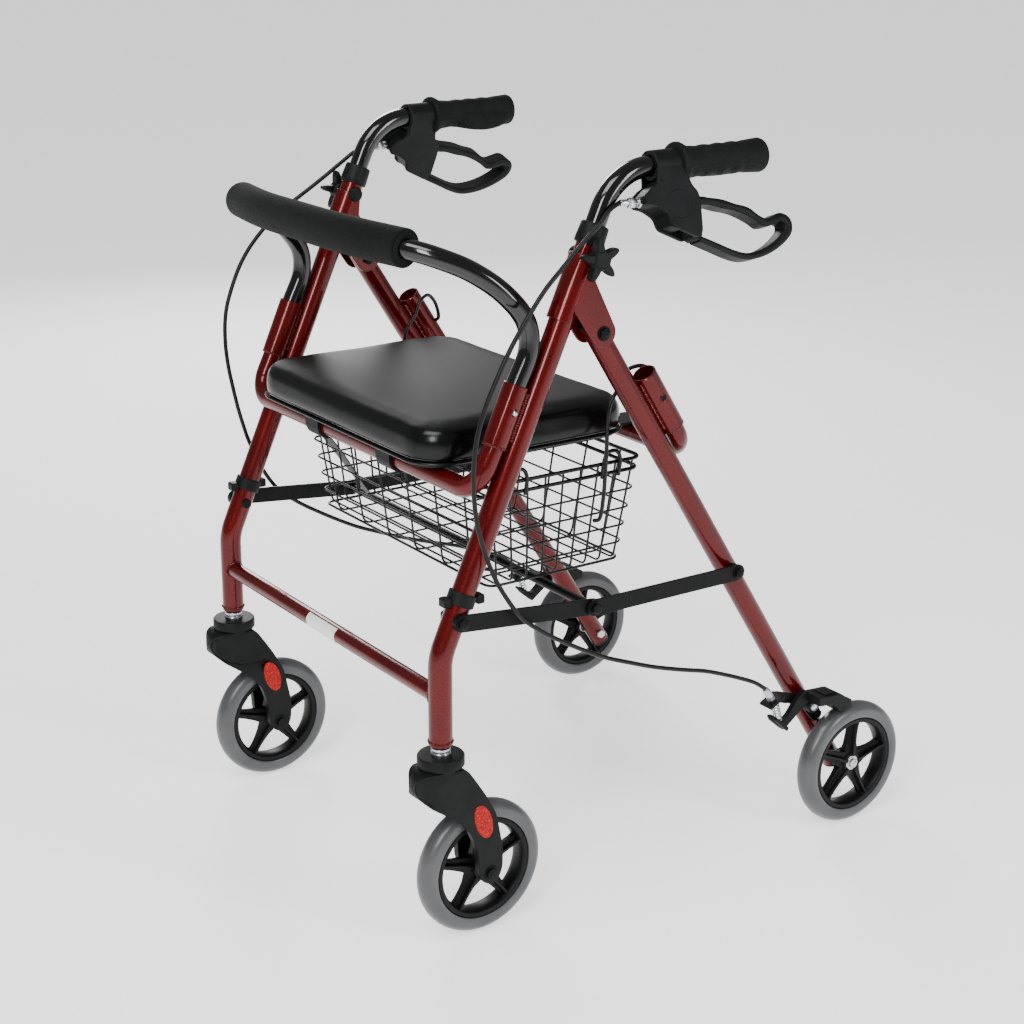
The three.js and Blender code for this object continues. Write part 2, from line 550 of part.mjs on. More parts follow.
// ---------------------------------------------------------------- seat
// Flat slab with rounded corners, pulled in all round by inset.
function slab({ x, y0, y1, corner }, z0, z1, inset = 0) {
  const shape = new THREE.Shape();
  const r = corner - inset;
  for (const [cx, cy, turn] of [[1, 0, -0.5], [1, 1, 0], [-1, 1, 0.5], [-1, 0, 1]]) {
    const centreY = cy ? y1 - corner : y0 + corner;
    shape.absarc(cx * (x - corner), centreY, r, turn * Math.PI, (turn + 0.5) * Math.PI);
  }
  const options = { depth: z1 - z0, bevelEnabled: false, curveSegments: 6 };
  return new THREE.ExtrudeGeometry(shape, options).translate(0, 0, z0);
}
add("seat_pad", slab(SEAT, SEAT.z0 + SEAT_BASE_T + GAP, SEAT.z1), "vinyl");

// The seat's board hangs on the front tube by two clips and rests on the rear tube by two tabs.
const CLIP_X = [62, 92];
const TAB_X = [118, 156];
const baseTop = SEAT.z0 + SEAT_BASE_T;
const clips = [];
const tabs = [];
for (const [, s] of mirrored) {
  const [clipY, tabY] = [FRONT_SEAT_TUBE_Y, REAR_SEAT_TUBE_Y];
  const clip = block(...CLIP_X, clipY - 15, clipY + 15, SEAT_TUBE_Z - 14, SEAT.z0 + 1);
  clips.push(onSide(s, clip));
  tabs.push(onSide(s, block(...TAB_X, SEAT.y1 - 30, tabY + 9, SEAT.z0, SEAT.z0 + 3)));
}
const boreEnd = v3(100, FRONT_SEAT_TUBE_Y, SEAT_TUBE_Z);
const hingeBore = rod(SEAT_TUBE_R + GAP + 0.2, boreEnd.clone().setX(-boreEnd.x), boreEnd, 20);
const base = union([slab(SEAT, SEAT.z0, baseTop, 5), ...clips, ...tabs]).subtract(solid(hingeBore));
add("seat_base", geometryOf(base), "moulded");

// ---------------------------------------------------------------- basket
// Open-topped tapering box: half width and the two y limits at its rim and at its floor.
function taperedBox([topX, topY0, topY1], [lowX, lowY0, lowY1], z0, z1) {
  const geometry = new THREE.BoxGeometry(2, 2, 2);
  const p = geometry.attributes.position;
  for (let i = 0; i < p.count; i += 1) {
    const up = p.getZ(i) > 0;
    const [x, y0, y1] = up ? [topX, topY0, topY1] : [lowX, lowY0, lowY1];
    p.setXYZ(i, p.getX(i) * x, p.getY(i) > 0 ? y1 : y0, up ? z1 : z0);
  }
  return geometry;
}
const { top: rimLimits, bottom: floorLimits, z0: floorZ, z1: rimZ, wall } = BASKET;
const shrunk = ([x, y0, y1]) => [x - wall, y0 + wall, y1 - wall];
const basketOuter = taperedBox(rimLimits, floorLimits, floorZ, rimZ);
const basketInner = taperedBox(shrunk(rimLimits), shrunk(floorLimits), floorZ + wall, rimZ + 0.01);
add("basket", cut(basketOuter, basketInner), "wire");

// ---------------------------------------------------------------- rear brakes
const BRAKE_PIVOT = [203, 156];
const SHOE_GAP = 1.6; // between the resting shoe and the tyre
const BRACKET = [
  [144, 176], [150, 184], [176, 175], [200, 172], [214, 160], [226, 138], [216, 128], [203, 142], [190, 160],
  [165, 166],
];
const TAB = [[128, 174], [130, 171], [151, 182], [149, 185]];
const ARM = [
  [141, 159], [138, 153], [158, 136], [163, 139], [186, 156], [197, 162], [197, 175], [190, 178], [179, 171],
  [166, 154], [157, 147],
];
for (const [side, s] of mirrored) {
  // Bracket: a plate on the leg's outer face whose bent tab holds the end of the cable's sleeve.
  const x = SIDE_X + TUBE_R + GAP + 1.5;
  const face = plate(BRACKET, x, 3, [[...BRAKE_PIVOT, 3.4]]);
  const tab = plate(TAB, x + 8, 19);
  add(`brake_bracket_${side}`, onSide(s, joined(face, tab)), "link_steel");

  // Arm: pivots on the bracket, with the cable's end in front and the shoe over the tyre behind.
  const lever = plate(ARM, x + 6, 8);
  const pin = turned([[0, 0], [0, 3], [6, 3], [6, 0]], x - 1.4, ...BRAKE_PIVOT, 10);
  const boss = turned([[0, 0], [0, 8], [8, 8], [8, 0]], x + 2, ...BRAKE_PIVOT, 14);
  const shoeArc = [20, 16, 12, 8].map((degrees) => {
    const angle = (degrees * Math.PI) / 180;
    const reach = WHEEL_R + SHOE_GAP;
    return [REAR_AXLE[0] - reach * Math.sin(angle), REAR_AXLE[1] + reach * Math.cos(angle)];
  });
  const wedge = [[196, 164], [212, 163], [221, 159], ...shoeArc, [244, 162], [222, 173], [196, 175]];
  const shoe = plate(wedge, REAR_WHEEL_X - 4, 29);
  add(`brake_arm_${side}`, onSide(s, joined(lever, pin, boss, shoe)), "moulded");
}

// ---------------------------------------------------------------- cables and strap
// Outer sleeves of the brake cables, in two lengths: handle to side frame, side frame to brake.
const CABLE_R = 2.5;
const UPPER_ROUTE = [
  [247.2, -93.2, 776.2], [250, -108, 770], [253, -122, 758], [253, -139, 744], [253.5, -154, 731],
  [255, -171, 717], [258, -192, 700], [262, -218, 672], [263, -236, 648], [263, -252, 620], [262, -266, 590],
  [260, -274, 560], [259, -277, 530], [258, -276, 500], [258, -272, 470], [259, -264, 440],
];
const LOWER_ROUTE = [
  [259.2, -262.6, 436], [260.5, -252, 410], [262.5, -240, 388], [264, -222, 363], [264.5, -197, 342],
  [264, -164, 321], [263, -113, 293], [262, -75, 277], [261, -42, 264], [259, 0, 250], [257, 36, 239],
  [256, 64, 228], [256.5, 90, 217], [258, 111, 207], [259, 125, 197],
];
const cable = (route, steps) => sweep(disc(CABLE_R, 8), smooth(route), steps);
// The right upper cable has more slack and bows out and forward in the middle of its length.
const slack = (i) => Math.sin((Math.PI * i) / (UPPER_ROUTE.length - 1)) ** 2;
const slackRoute = UPPER_ROUTE.map(([x, y, z], i) => [-x - 17 * slack(i), y - 14 * slack(i), z]);
add("cable_upper_left", cable(UPPER_ROUTE, 44), "moulded");
add("cable_upper_right", cable(slackRoute, 44), "moulded");
add("cable_lower_left", cable(LOWER_ROUTE, 40), "moulded");
add("cable_lower_right", cable(LOWER_ROUTE.map(([x, y, z]) => [-x, y, z]), 40), "moulded");

// Webbing strap from the front seat tube down to the cross rod, outside the basket.
const STRAP = { x: -205, width: 22, drop: 1.1 }; // drop: offset of its underside along -y and -z
const strapTop = [[-246.4, 493], [-228, 484], [-198, 455], [-168, 416], [-142, 378], [-126.5, 355.5]];
const strapBelow = strapTop.map(([y, z]) => [y - STRAP.drop, z - STRAP.drop]).reverse();
add("limit_strap", plate([...strapTop, ...strapBelow], STRAP.x, STRAP.width), "webbing");

group.position.y = CENTRE_SHIFT;

export default group;
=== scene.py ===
# %% [markdown]
# # A folding rollator walker
# The walker is a folding frame of bent steel tube on four wheels, with a padded seat, a backrest bar,
# a wire basket and hand brakes. Each cell below makes one kind of piece: first what it is on the real
# walker, then how it could be made in Blender, and why this way was chosen.
#
# Lengths are in millimetres in the drawings and in metres in Blender. +Z is up, the walker travels
# towards -Y, and the two side frames are mirror images across X = 0.

import math

import bmesh
import bpy
from mathutils import Matrix, Vector


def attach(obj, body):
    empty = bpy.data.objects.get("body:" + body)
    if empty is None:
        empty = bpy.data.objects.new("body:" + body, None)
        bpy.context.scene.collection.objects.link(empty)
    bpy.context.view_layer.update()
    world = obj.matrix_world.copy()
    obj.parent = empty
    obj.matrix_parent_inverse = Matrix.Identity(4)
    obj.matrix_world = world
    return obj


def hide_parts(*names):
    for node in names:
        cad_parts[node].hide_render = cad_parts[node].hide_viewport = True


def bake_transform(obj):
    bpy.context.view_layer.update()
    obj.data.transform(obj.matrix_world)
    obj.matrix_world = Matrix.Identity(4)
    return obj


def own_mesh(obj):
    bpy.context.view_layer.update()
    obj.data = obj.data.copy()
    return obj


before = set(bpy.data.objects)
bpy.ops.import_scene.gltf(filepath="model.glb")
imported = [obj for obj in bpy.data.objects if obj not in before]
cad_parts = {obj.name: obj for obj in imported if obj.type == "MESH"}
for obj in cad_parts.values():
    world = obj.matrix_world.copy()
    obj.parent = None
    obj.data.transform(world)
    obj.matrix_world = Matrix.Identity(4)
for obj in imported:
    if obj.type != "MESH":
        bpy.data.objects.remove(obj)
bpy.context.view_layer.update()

# %% [markdown]
# ## Drawing coordinates
# The frame's origin is under the middle of the walker. The drawings measure from a line 5 mm in front
# of it, so one function turns drawing millimetres into metres of the frame.

# %% Coordinates and the lines of the legs
MM = 0.001
CENTRE_SHIFT = 5.0
SIDES = (("left", 1), ("right", -1))


def at(x, y, z):
    return Vector((x, y + CENTRE_SHIFT, z)) * MM


SIDE_X = 235.0
LEG_R = 12.7
POST_R = 11.0
SLEEVE_R = 13.2
LEG_TOP = (-118.0, 744.0)
LEG_BEND = (-303.0, 327.0)
PIVOT = (-112.0, 645.0)
REAR_AXLE = (254.0, 76.0)
CASTER_AXLE = (-256.0, 76.0)
REAR_WHEEL_X = 270.5
GRIP_Z = 808.0
SEAT_TUBE_Z = 496.0
FRONT_BAR_Y = -258.7
REAR_BAR_Y = 14.7
FRONT_SLEEVE = (546, 602)  # heights of the bottom and the mouth of a front sleeve
REAR_SLEEVE = (531, 591)
CROSS_TUBE_R = 9.5
CROSS_TUBE_Z = 283

front_slope = (LEG_TOP[0] - LEG_BEND[0]) / (LEG_TOP[1] - LEG_BEND[1])
rear_slope = (REAR_AXLE[0] - PIVOT[0]) / (REAR_AXLE[1] - PIVOT[1])
SOCKET_GAP = LEG_R + SLEEVE_R + 0.3


def front_y(z):
    return LEG_TOP[0] + (z - LEG_TOP[1]) * front_slope


def rear_y(z):
    return PIVOT[0] + (z - PIVOT[1]) * rear_slope


def front_socket_y(z):
    return front_y(z) - SOCKET_GAP * math.hypot(front_slope, 1)


def rear_socket_y(z):
    return rear_y(z) + SOCKET_GAP * math.hypot(rear_slope, 1)


up_front = Vector((0, front_slope, 1)).normalized()
up_rear = Vector((0, rear_slope, 1)).normalized()
print("front leg leans", round(math.degrees(math.atan(front_slope)), 1), "degrees")

# %% [markdown]
# ## Camera
# A long lens from a few metres away flattens the perspective, as in a catalogue picture. The camera
# comes first, because every later choice is judged through it.

# %% Camera
CAMERA_PLACE = (1.81388, -1.30459, 1.10661)
CAMERA_AZIMUTH = 55.244
CAMERA_ELEVATION = 18.389
CAMERA_ROLL = 0.262


def camera_axes(azimuth, elevation, roll):
    a, e, r = (math.radians(v) for v in (azimuth, elevation, roll))
    back = Vector((math.sin(a) * math.cos(e), -math.cos(a) * math.cos(e), math.sin(e)))
    level = Vector((math.cos(a), math.sin(a), 0))
    upright = back.cross(level)
    right = level * math.cos(r) + upright * math.sin(r)
    return right, back.cross(right), back


camera_data = bpy.data.cameras.new("camera")
camera_data.lens = 69.34
camera_data.sensor_width = 36
camera = bpy.data.objects.new("camera", camera_data)
bpy.context.scene.collection.objects.link(camera)
right, upward, back = camera_axes(CAMERA_AZIMUTH, CAMERA_ELEVATION, CAMERA_ROLL)
turned_to = Matrix((right, upward, back)).transposed().to_4x4()
camera.matrix_world = Matrix.Translation(CAMERA_PLACE) @ turned_to
bpy.context.scene.camera = camera
print("camera distance:", round(Vector(CAMERA_PLACE).length, 2), "m")

# %% [markdown]
# ## Light and floor
# Candy paint and vinyl show themselves through long soft highlights. Large area lights on both sides
# draw those streaks along the tubes, a white world fills the shadows, and a pale floor takes a faint
# shadow under each wheel.

# %% Colour and light
def linear(hex_colour):
    channels = [int(hex_colour[i:i + 2], 16) / 255 for i in (1, 3, 5)]
    return tuple(c / 12.92 if c <= 0.04045 else ((c + 0.055) / 1.055) ** 2.4 for c in channels) + (1.0,)


def area_light(name, place, target, width, height, watts):
    data = bpy.data.lights.new(name, "AREA")
    data.shape = "RECTANGLE"
    data.size, data.size_y = width, height
    data.energy = watts
    light = bpy.data.objects.new(name, data)
    light.location = place
    light.rotation_euler = (Vector(target) - Vector(place)).to_track_quat("-Z", "Y").to_euler()
    bpy.context.scene.collection.objects.link(light)


area_light("key_light", (1.9, -2.6, 2.3), (0, 0, 0.4), 0.8, 1.6, 80)
area_light("fill_light", (2.9, 1.0, 1.5), (0, 0, 0.4), 0.5, 1.6, 44)
area_light("rim_light", (-2.6, 0.9, 1.6), (0, 0, 0.4), 0.7, 1.6, 44)
area_light("top_light", (0.6, -1.4, 3.2), (0, 0, 0.4), 1.6, 1.2, 60)

world = bpy.data.worlds.new("studio")
bpy.context.scene.world = world
world.use_nodes = True
world.node_tree.nodes["Background"].inputs["Color"].default_value = (1, 1, 1, 1)
world.node_tree.nodes["Background"].inputs["Strength"].default_value = 0.3

# %% [markdown]
# ## Materials
# Each material is one principled shader with a few nodes in front of it. One helper adds a node, sets
# its values and links its inputs, and patterns are scaled in millimetres through object coordinates.

# %% Node helper
def add_node(tree, kind, settings=None, **inputs):
    node = tree.nodes.new(kind)
    for key, value in (settings or {}).items():
        setattr(node, key, value)
    for key, value in inputs.items():
        by_place = key[0] == "i" and key[1:].isdigit()
        socket = node.inputs[int(key[1:]) if by_place else key.replace("_", " ")]
        if isinstance(value, bpy.types.NodeSocket):
            tree.links.new(value, socket)
        else:
            socket.default_value = value
    return node


def new_material(name, colour, roughness, metallic=0.0, ior=1.5, **sockets):
    material = bpy.data.materials.new(name)
    material.use_nodes = True
    tree = material.node_tree
    shader = tree.nodes["Principled BSDF"]
    shader.inputs["Base Color"].default_value = linear(colour)
    shader.inputs["Roughness"].default_value = roughness
    shader.inputs["Metallic"].default_value = metallic
    shader.inputs["IOR"].default_value = ior
    for key, value in sockets.items():
        shader.inputs[key.replace("_", " ")].default_value = value
    place = add_node(tree, "ShaderNodeTexCoord").outputs["Object"]
    return material, tree, shader, place


def per_mm(size):
    """Texture scale, in repeats per metre, of a pattern whose grain is size millimetres."""
    return 1000.0 / size


def bumped(tree, shader, height, distance_mm, strength=1.0):
    bump = add_node(tree, "ShaderNodeBump", Height=height, Distance=distance_mm * MM, Strength=strength)
    tree.links.new(bump.outputs["Normal"], shader.inputs["Normal"])


def varied(tree, fac, dark, light, low=0.0, high=1.0):
    ramp = add_node(tree, "ShaderNodeValToRGB", Fac=fac)
    ramp.color_ramp.elements[0].position = low
    ramp.color_ramp.elements[0].color = linear(dark)
    ramp.color_ramp.elements[1].position = high
    ramp.color_ramp.elements[1].color = linear(light)
    return ramp.outputs["Color"]


def ranged(tree, value, low, high):
    return add_node(tree, "ShaderNodeMapRange", Value=value, To_Min=low, To_Max=high).outputs["Result"]


# %% Floor: seamless paper sweep, matt and nearly white
def seamless_paper():
    material, tree, shader, place = new_material("seamless_paper", "#F4F4F5", 0.9)
    shader.inputs["Emission Color"].default_value = (1, 1, 1, 1)
    shader.inputs["Emission Strength"].default_value = 0.95
    fibre = add_node(tree, "ShaderNodeTexNoise", Vector=place, Scale=per_mm(400.0)).outputs["Fac"]
    tree.links.new(varied(tree, fibre, "#F2F2F3", "#F7F7F7"), shader.inputs["Base Color"])
    return material


FLOOR_HALF = 80.0
floor_mesh = bpy.data.meshes.new("floor")
floor_mesh.from_pydata([(-FLOOR_HALF, -FLOOR_HALF, 0), (FLOOR_HALF, -FLOOR_HALF, 0),
                        (FLOOR_HALF, FLOOR_HALF, 0), (-FLOOR_HALF, FLOOR_HALF, 0)], [], [(0, 1, 2, 3)])
floor = bpy.data.objects.new("floor", floor_mesh)
floor.data.materials.append(seamless_paper())
bpy.context.scene.collection.objects.link(floor)


# %% [markdown]
# ### Candy red enamel
# The tubes are sprayed with a silver base, then a transparent red, then a clear coat, and baked. The
# eye sees a deep red that turns bright where the metal flake faces the light, dark red at grazing
# angles, and a hard white streak from the clear coat on top.

# %% Candy red enamel on steel tube
def candy_enamel():
    material, tree, shader, place = new_material("candy_red_enamel", "#460304", 0.3, metallic=0.45)
    shader.inputs["Coat Weight"].default_value = 0.4
    shader.inputs["Coat Roughness"].default_value = 0.05
    shader.inputs["Specular IOR Level"].default_value = 0.1
    # Real flake is about 0.05 mm. It is drawn at 0.7 mm so that the sparkle shows.
    flake = add_node(tree, "ShaderNodeTexVoronoi", Vector=place, Scale=per_mm(0.7)).outputs["Color"]
    sparkle = add_node(tree, "ShaderNodeSeparateColor", Color=flake).outputs["Red"]
    depth = add_node(tree, "ShaderNodeTexNoise", Vector=place, Scale=per_mm(60.0), Detail=3.0).outputs["Fac"]
    coat = varied(tree, depth, "#3C0203", "#520405", 0.3, 0.7)
    bright = add_node(tree, "ShaderNodeMix", {"data_type": "RGBA"}, Factor=ranged(tree, sparkle, 0.0, 0.25),
                      i6=coat, i7=linear("#801210")).outputs[2]
    tree.links.new(bright, shader.inputs["Base Color"])
    tree.links.new(ranged(tree, sparkle, 0.24, 0.38), shader.inputs["Roughness"])
    peel = add_node(tree, "ShaderNodeTexNoise", Vector=place, Scale=per_mm(9.0)).outputs["Fac"]
    bumped(tree, shader, peel, 0.05, 0.25)
    return material


RED = candy_enamel()


# %% [markdown]
# ### Black finishes
# Five blacks sit side by side on the walker and only their surfaces tell them apart: glossy stoved
# enamel on the posts, satin electrophoretic coating on the links, a dip coat on the basket wire,
# fine-grained moulded nylon, and soft matt rubber and foam.

# %% Black finishes
def stoved_enamel():
    material, tree, shader, place = new_material("black_stoved_enamel", "#050506", 0.14)
    shader.inputs["Specular IOR Level"].default_value = 0.3
    shader.inputs["Coat Weight"].default_value = 0.5
    shader.inputs["Coat Roughness"].default_value = 0.04
    cloud = add_node(tree, "ShaderNodeTexNoise", Vector=place, Scale=per_mm(40.0), Detail=4.0).outputs["Fac"]
    tree.links.new(varied(tree, cloud, "#040405", "#09090A"), shader.inputs["Base Color"])
    tree.links.new(ranged(tree, cloud, 0.08, 0.22), shader.inputs["Roughness"])
    peel = add_node(tree, "ShaderNodeTexNoise", Vector=place, Scale=per_mm(7.0)).outputs["Fac"]
    bumped(tree, shader, peel, 0.04, 0.3)
    return material


def coated_strip_steel():
    material, tree, shader, place = new_material("black_coated_strip_steel", "#1A1A1B", 0.42, metallic=0.35)
    shader.inputs["Specular IOR Level"].default_value = 0.15
    rolled = add_node(tree, "ShaderNodeTexNoise", Vector=place, Scale=per_mm(3.0), Detail=5.0).outputs["Fac"]
    tree.links.new(varied(tree, rolled, "#08080A", "#121314", 0.3, 0.75), shader.inputs["Base Color"])
    tree.links.new(ranged(tree, rolled, 0.32, 0.55), shader.inputs["Roughness"])
    bumped(tree, shader, rolled, 0.06, 0.4)
    return material


def dip_coated_wire():
    material, tree, shader, place = new_material("black_dip_coated_wire", "#0C0C0D", 0.33)
    shader.inputs["Specular IOR Level"].default_value = 0.2
    shader.inputs["Coat Weight"].default_value = 0.1
    drip = add_node(tree, "ShaderNodeTexNoise", Vector=place, Scale=per_mm(12.0), Detail=2.0).outputs["Fac"]
    tree.links.new(varied(tree, drip, "#040405", "#0C0C0D"), shader.inputs["Base Color"])
    tree.links.new(ranged(tree, drip, 0.25, 0.42), shader.inputs["Roughness"])
    return material


def moulded_nylon(name="grained_moulded_nylon", dark="#0A0B0B", light="#131415", low=0.44, high=0.58):
    material, tree, shader, place = new_material(name, dark, low, ior=1.53)
    shader.inputs["Specular IOR Level"].default_value = 0.13
    # Spark-eroded mould texture, about 0.3 mm between pits; drawn at 0.8 mm.
    pits = add_node(tree, "ShaderNodeTexNoise", Vector=place, Scale=per_mm(0.8), Detail=3.0).outputs["Fac"]
    cloud = add_node(tree, "ShaderNodeTexNoise", Vector=place, Scale=per_mm(25.0), Detail=3.0).outputs["Fac"]
    tree.links.new(varied(tree, cloud, dark, light, 0.3, 0.7), shader.inputs["Base Color"])
    tree.links.new(ranged(tree, pits, low, high), shader.inputs["Roughness"])
    bumped(tree, shader, pits, 0.08, 0.35)
    return material


def ribbed_rubber():
    material, tree, shader, place = new_material("moulded_grip_rubber", "#111212", 0.72, ior=1.52)
    shader.inputs["Specular IOR Level"].default_value = 0.15
    grain = add_node(tree, "ShaderNodeTexVoronoi", Vector=place, Scale=per_mm(1.6)).outputs["Distance"]
    cloud = add_node(tree, "ShaderNodeTexNoise", Vector=place, Scale=per_mm(18.0), Detail=3.0).outputs["Fac"]
    tree.links.new(varied(tree, cloud, "#080909", "#101112", 0.3, 0.7), shader.inputs["Base Color"])
    tree.links.new(ranged(tree, grain, 0.6, 0.85), shader.inputs["Roughness"])
    bumped(tree, shader, grain, 0.22, 0.6)
    return material


def closed_cell_foam():
    material, tree, shader, place = new_material("closed_cell_foam", "#17181A", 0.95)
    shader.inputs["Sheen Weight"].default_value = 0.03
    shader.inputs["Sheen Roughness"].default_value = 0.6
    shader.inputs["Specular IOR Level"].default_value = 0.12
    cells = add_node(tree, "ShaderNodeTexVoronoi", Vector=place, Scale=per_mm(1.2)).outputs["Distance"]
    skin = add_node(tree, "ShaderNodeTexNoise", Vector=place, Scale=per_mm(6.0), Detail=5.0).outputs["Fac"]
    tree.links.new(varied(tree, skin, "#060707", "#0E0F10", 0.3, 0.75), shader.inputs["Base Color"])
    tree.links.new(ranged(tree, cells, 0.85, 1.0), shader.inputs["Roughness"])
    bumped(tree, shader, cells, 0.35, 0.7)
    return material


def upholstery_vinyl():
    material, tree, shader, place = new_material("pvc_upholstery_vinyl", "#0A0B0B", 0.36, ior=1.54)
    shader.inputs["Specular IOR Level"].default_value = 0.2
    # Embossed leather grain, about 0.8 mm; drawn at 1.4 mm.
    grain = add_node(tree, "ShaderNodeTexVoronoi", {"feature": "F1"}, Vector=place,
                     Scale=per_mm(1.4)).outputs["Distance"]
    cloud = add_node(tree, "ShaderNodeTexNoise", Vector=place, Scale=per_mm(55.0), Detail=4.0).outputs["Fac"]
    tree.links.new(varied(tree, cloud, "#050606", "#0B0C0C", 0.3, 0.72), shader.inputs["Base Color"])
    # The film is stretched glossy over the edges and stays satin on the flat top.
    facing = add_node(tree, "ShaderNodeNewGeometry").outputs["Normal"]
    height = add_node(tree, "ShaderNodeSeparateXYZ", Vector=facing).outputs["Z"]
    flat_top = add_node(tree, "ShaderNodeMapRange", Value=height, From_Min=0.75, From_Max=0.97,
                        To_Min=0.2, To_Max=0.56)
    tree.links.new(flat_top.outputs["Result"], shader.inputs["Roughness"])
    bumped(tree, shader, grain, 0.07, 0.35)
    return material


def cable_sleeve():
    material, tree, shader, place = new_material("extruded_pvc_sleeve", "#101011", 0.38, ior=1.53)
    shader.inputs["Specular IOR Level"].default_value = 0.2
    scuff = add_node(tree, "ShaderNodeTexNoise", Vector=place, Scale=per_mm(15.0), Detail=4.0).outputs["Fac"]
    tree.links.new(varied(tree, scuff, "#060607", "#101011", 0.35, 0.75), shader.inputs["Base Color"])
    tree.links.new(ranged(tree, scuff, 0.3, 0.48), shader.inputs["Roughness"])
    return material


def woven_webbing():
    material, tree, shader, place = new_material("woven_polyester_webbing", "#0C0C0D", 0.85)
    shader.inputs["Sheen Weight"].default_value = 0.3
    # Weft ribs 1.5 mm apart run across the strap.
    ribs = add_node(tree, "ShaderNodeTexWave", {"bands_direction": "Z"}, Vector=place,
                    Scale=per_mm(1.5) / 3.2, Distortion=0.6).outputs["Fac"]
    tree.links.new(varied(tree, ribs, "#080809", "#1D1D1F"), shader.inputs["Base Color"])
    tree.links.new(ranged(tree, ribs, 0.75, 0.95), shader.inputs["Roughness"])
    bumped(tree, shader, ribs, 0.3, 0.7)
    return material


ENAMEL = stoved_enamel()
STRIP_STEEL = coated_strip_steel()
WIRE = dip_coated_wire()
NYLON = moulded_nylon()
RIM_NYLON = moulded_nylon("glass_filled_nylon", "#070707", "#0E0E0F", 0.36, 0.5)
RUBBER = ribbed_rubber()
FOAM = closed_cell_foam()
VINYL = upholstery_vinyl()
CABLE = cable_sleeve()
WEBBING = woven_webbing()


# %% [markdown]
# ### Grey tyre, bright metal, reflector and label
# The tyres are cast grey polyurethane, smooth with a soft shine. Fasteners are zinc plated: a bright
# grey metal with a slight blue cast and fine scratches. The reflectors are pressed red acrylic with a
# honeycomb of cube corners behind the face, and the label is plain white film.

# %% Other finishes
def cast_polyurethane():
    material, tree, shader, place = new_material("cast_grey_polyurethane", "#454648", 0.34, ior=1.5)
    shader.inputs["Specular IOR Level"].default_value = 0.5
    cloud = add_node(tree, "ShaderNodeTexNoise", Vector=place, Scale=per_mm(30.0), Detail=5.0).outputs["Fac"]
    tree.links.new(varied(tree, cloud, "#3C3D3F", "#494A4C", 0.3, 0.72), shader.inputs["Base Color"])
    tree.links.new(ranged(tree, cloud, 0.24, 0.38), shader.inputs["Roughness"])
    grit = add_node(tree, "ShaderNodeTexNoise", Vector=place, Scale=per_mm(1.5), Detail=3.0).outputs["Fac"]
    bumped(tree, shader, grit, 0.05, 0.3)
    return material


def zinc_plate():
    material, tree, shader, place = new_material("zinc_plated_steel", "#B9BCC0", 0.28, metallic=1.0)
    scratches = add_node(tree, "ShaderNodeTexNoise", Vector=place, Scale=per_mm(1.0),
                         Detail=4.0).outputs["Fac"]
    tree.links.new(varied(tree, scratches, "#9DA0A5", "#D3D6D9", 0.3, 0.7), shader.inputs["Base Color"])
    tree.links.new(ranged(tree, scratches, 0.18, 0.38), shader.inputs["Roughness"])
    return material


def reflector_acrylic():
    material, tree, shader, place = new_material("pressed_red_acrylic", "#8E0D08", 0.3, ior=1.49)
    shader.inputs["Specular IOR Level"].default_value = 0.15
    shader.inputs["Coat Weight"].default_value = 0.1
    shader.inputs["Coat Roughness"].default_value = 0.08
    # Cube corners 3 mm across show through the face as a honeycomb.
    comb = add_node(tree, "ShaderNodeTexVoronoi", {"feature": "DISTANCE_TO_EDGE"}, Vector=place,
                    Scale=per_mm(3.0))
    tree.links.new(varied(tree, comb.outputs["Distance"], "#7A0300", "#C41206", 0.02, 0.3),
                   shader.inputs["Base Color"])
    bumped(tree, shader, comb.outputs["Distance"], 0.3, 0.4)
    return material


def label_film():
    material, tree, shader, place = new_material("white_label_film", "#E9E9EA", 0.35)
    cloud = add_node(tree, "ShaderNodeTexNoise", Vector=place, Scale=per_mm(20.0)).outputs["Fac"]
    tree.links.new(varied(tree, cloud, "#E2E2E4", "#F0F0F0"), shader.inputs["Base Color"])
    return material


POLYURETHANE = cast_polyurethane()
ZINC = zinc_plate()
ACRYLIC = reflector_acrylic()
LABEL = label_film()
print("materials:", len(bpy.data.materials))

# %% [markdown]
# ## Tools for making pieces
# Nearly every piece is one of four kinds: a round section swept along a line (tube, wire, cable), a
# profile turned about an axis (wheel, knob, bolt), a flat outline given thickness and softened edges
# (link, bracket, moulding), or a few of those joined. bmesh makes each of them exactly and cheaply.

# %% Finish a mesh: shading, material, body and name
made = {}


def finish_piece(name, mesh, material, body, replaced=(), sharp=38.0, bevel=0.0, segments=3):
    mesh.name = name
    mesh.shade_smooth()
    mesh.set_sharp_from_angle(angle=math.radians(sharp))
    mesh.materials.append(material)
    piece = bpy.data.objects.new(name, mesh)
    bpy.context.scene.collection.objects.link(piece)
    if bevel:
        rounding = piece.modifiers.new("rounded_edges", "BEVEL")
        rounding.width = bevel * MM
        rounding.segments = segments
        rounding.limit_method = "ANGLE"
        rounding.angle_limit = math.radians(sharp)
    if replaced:
        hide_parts(*replaced)
    if body:
        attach(piece, body)
    made[name] = piece
    return piece


def mesh_from(build, mirror=False):
    """A mesh made by build(bm). Mirrored across X = 0 for the right side, with its faces still out."""
    bm = bmesh.new()
    build(bm)
    if mirror:
        bmesh.ops.scale(bm, vec=(-1, 1, 1), verts=bm.verts)
        bmesh.ops.reverse_faces(bm, faces=bm.faces)
    bmesh.ops.recalc_face_normals(bm, faces=bm.faces)
    mesh = bpy.data.meshes.new("piece")
    bm.to_mesh(mesh)
    bm.free()
    return mesh


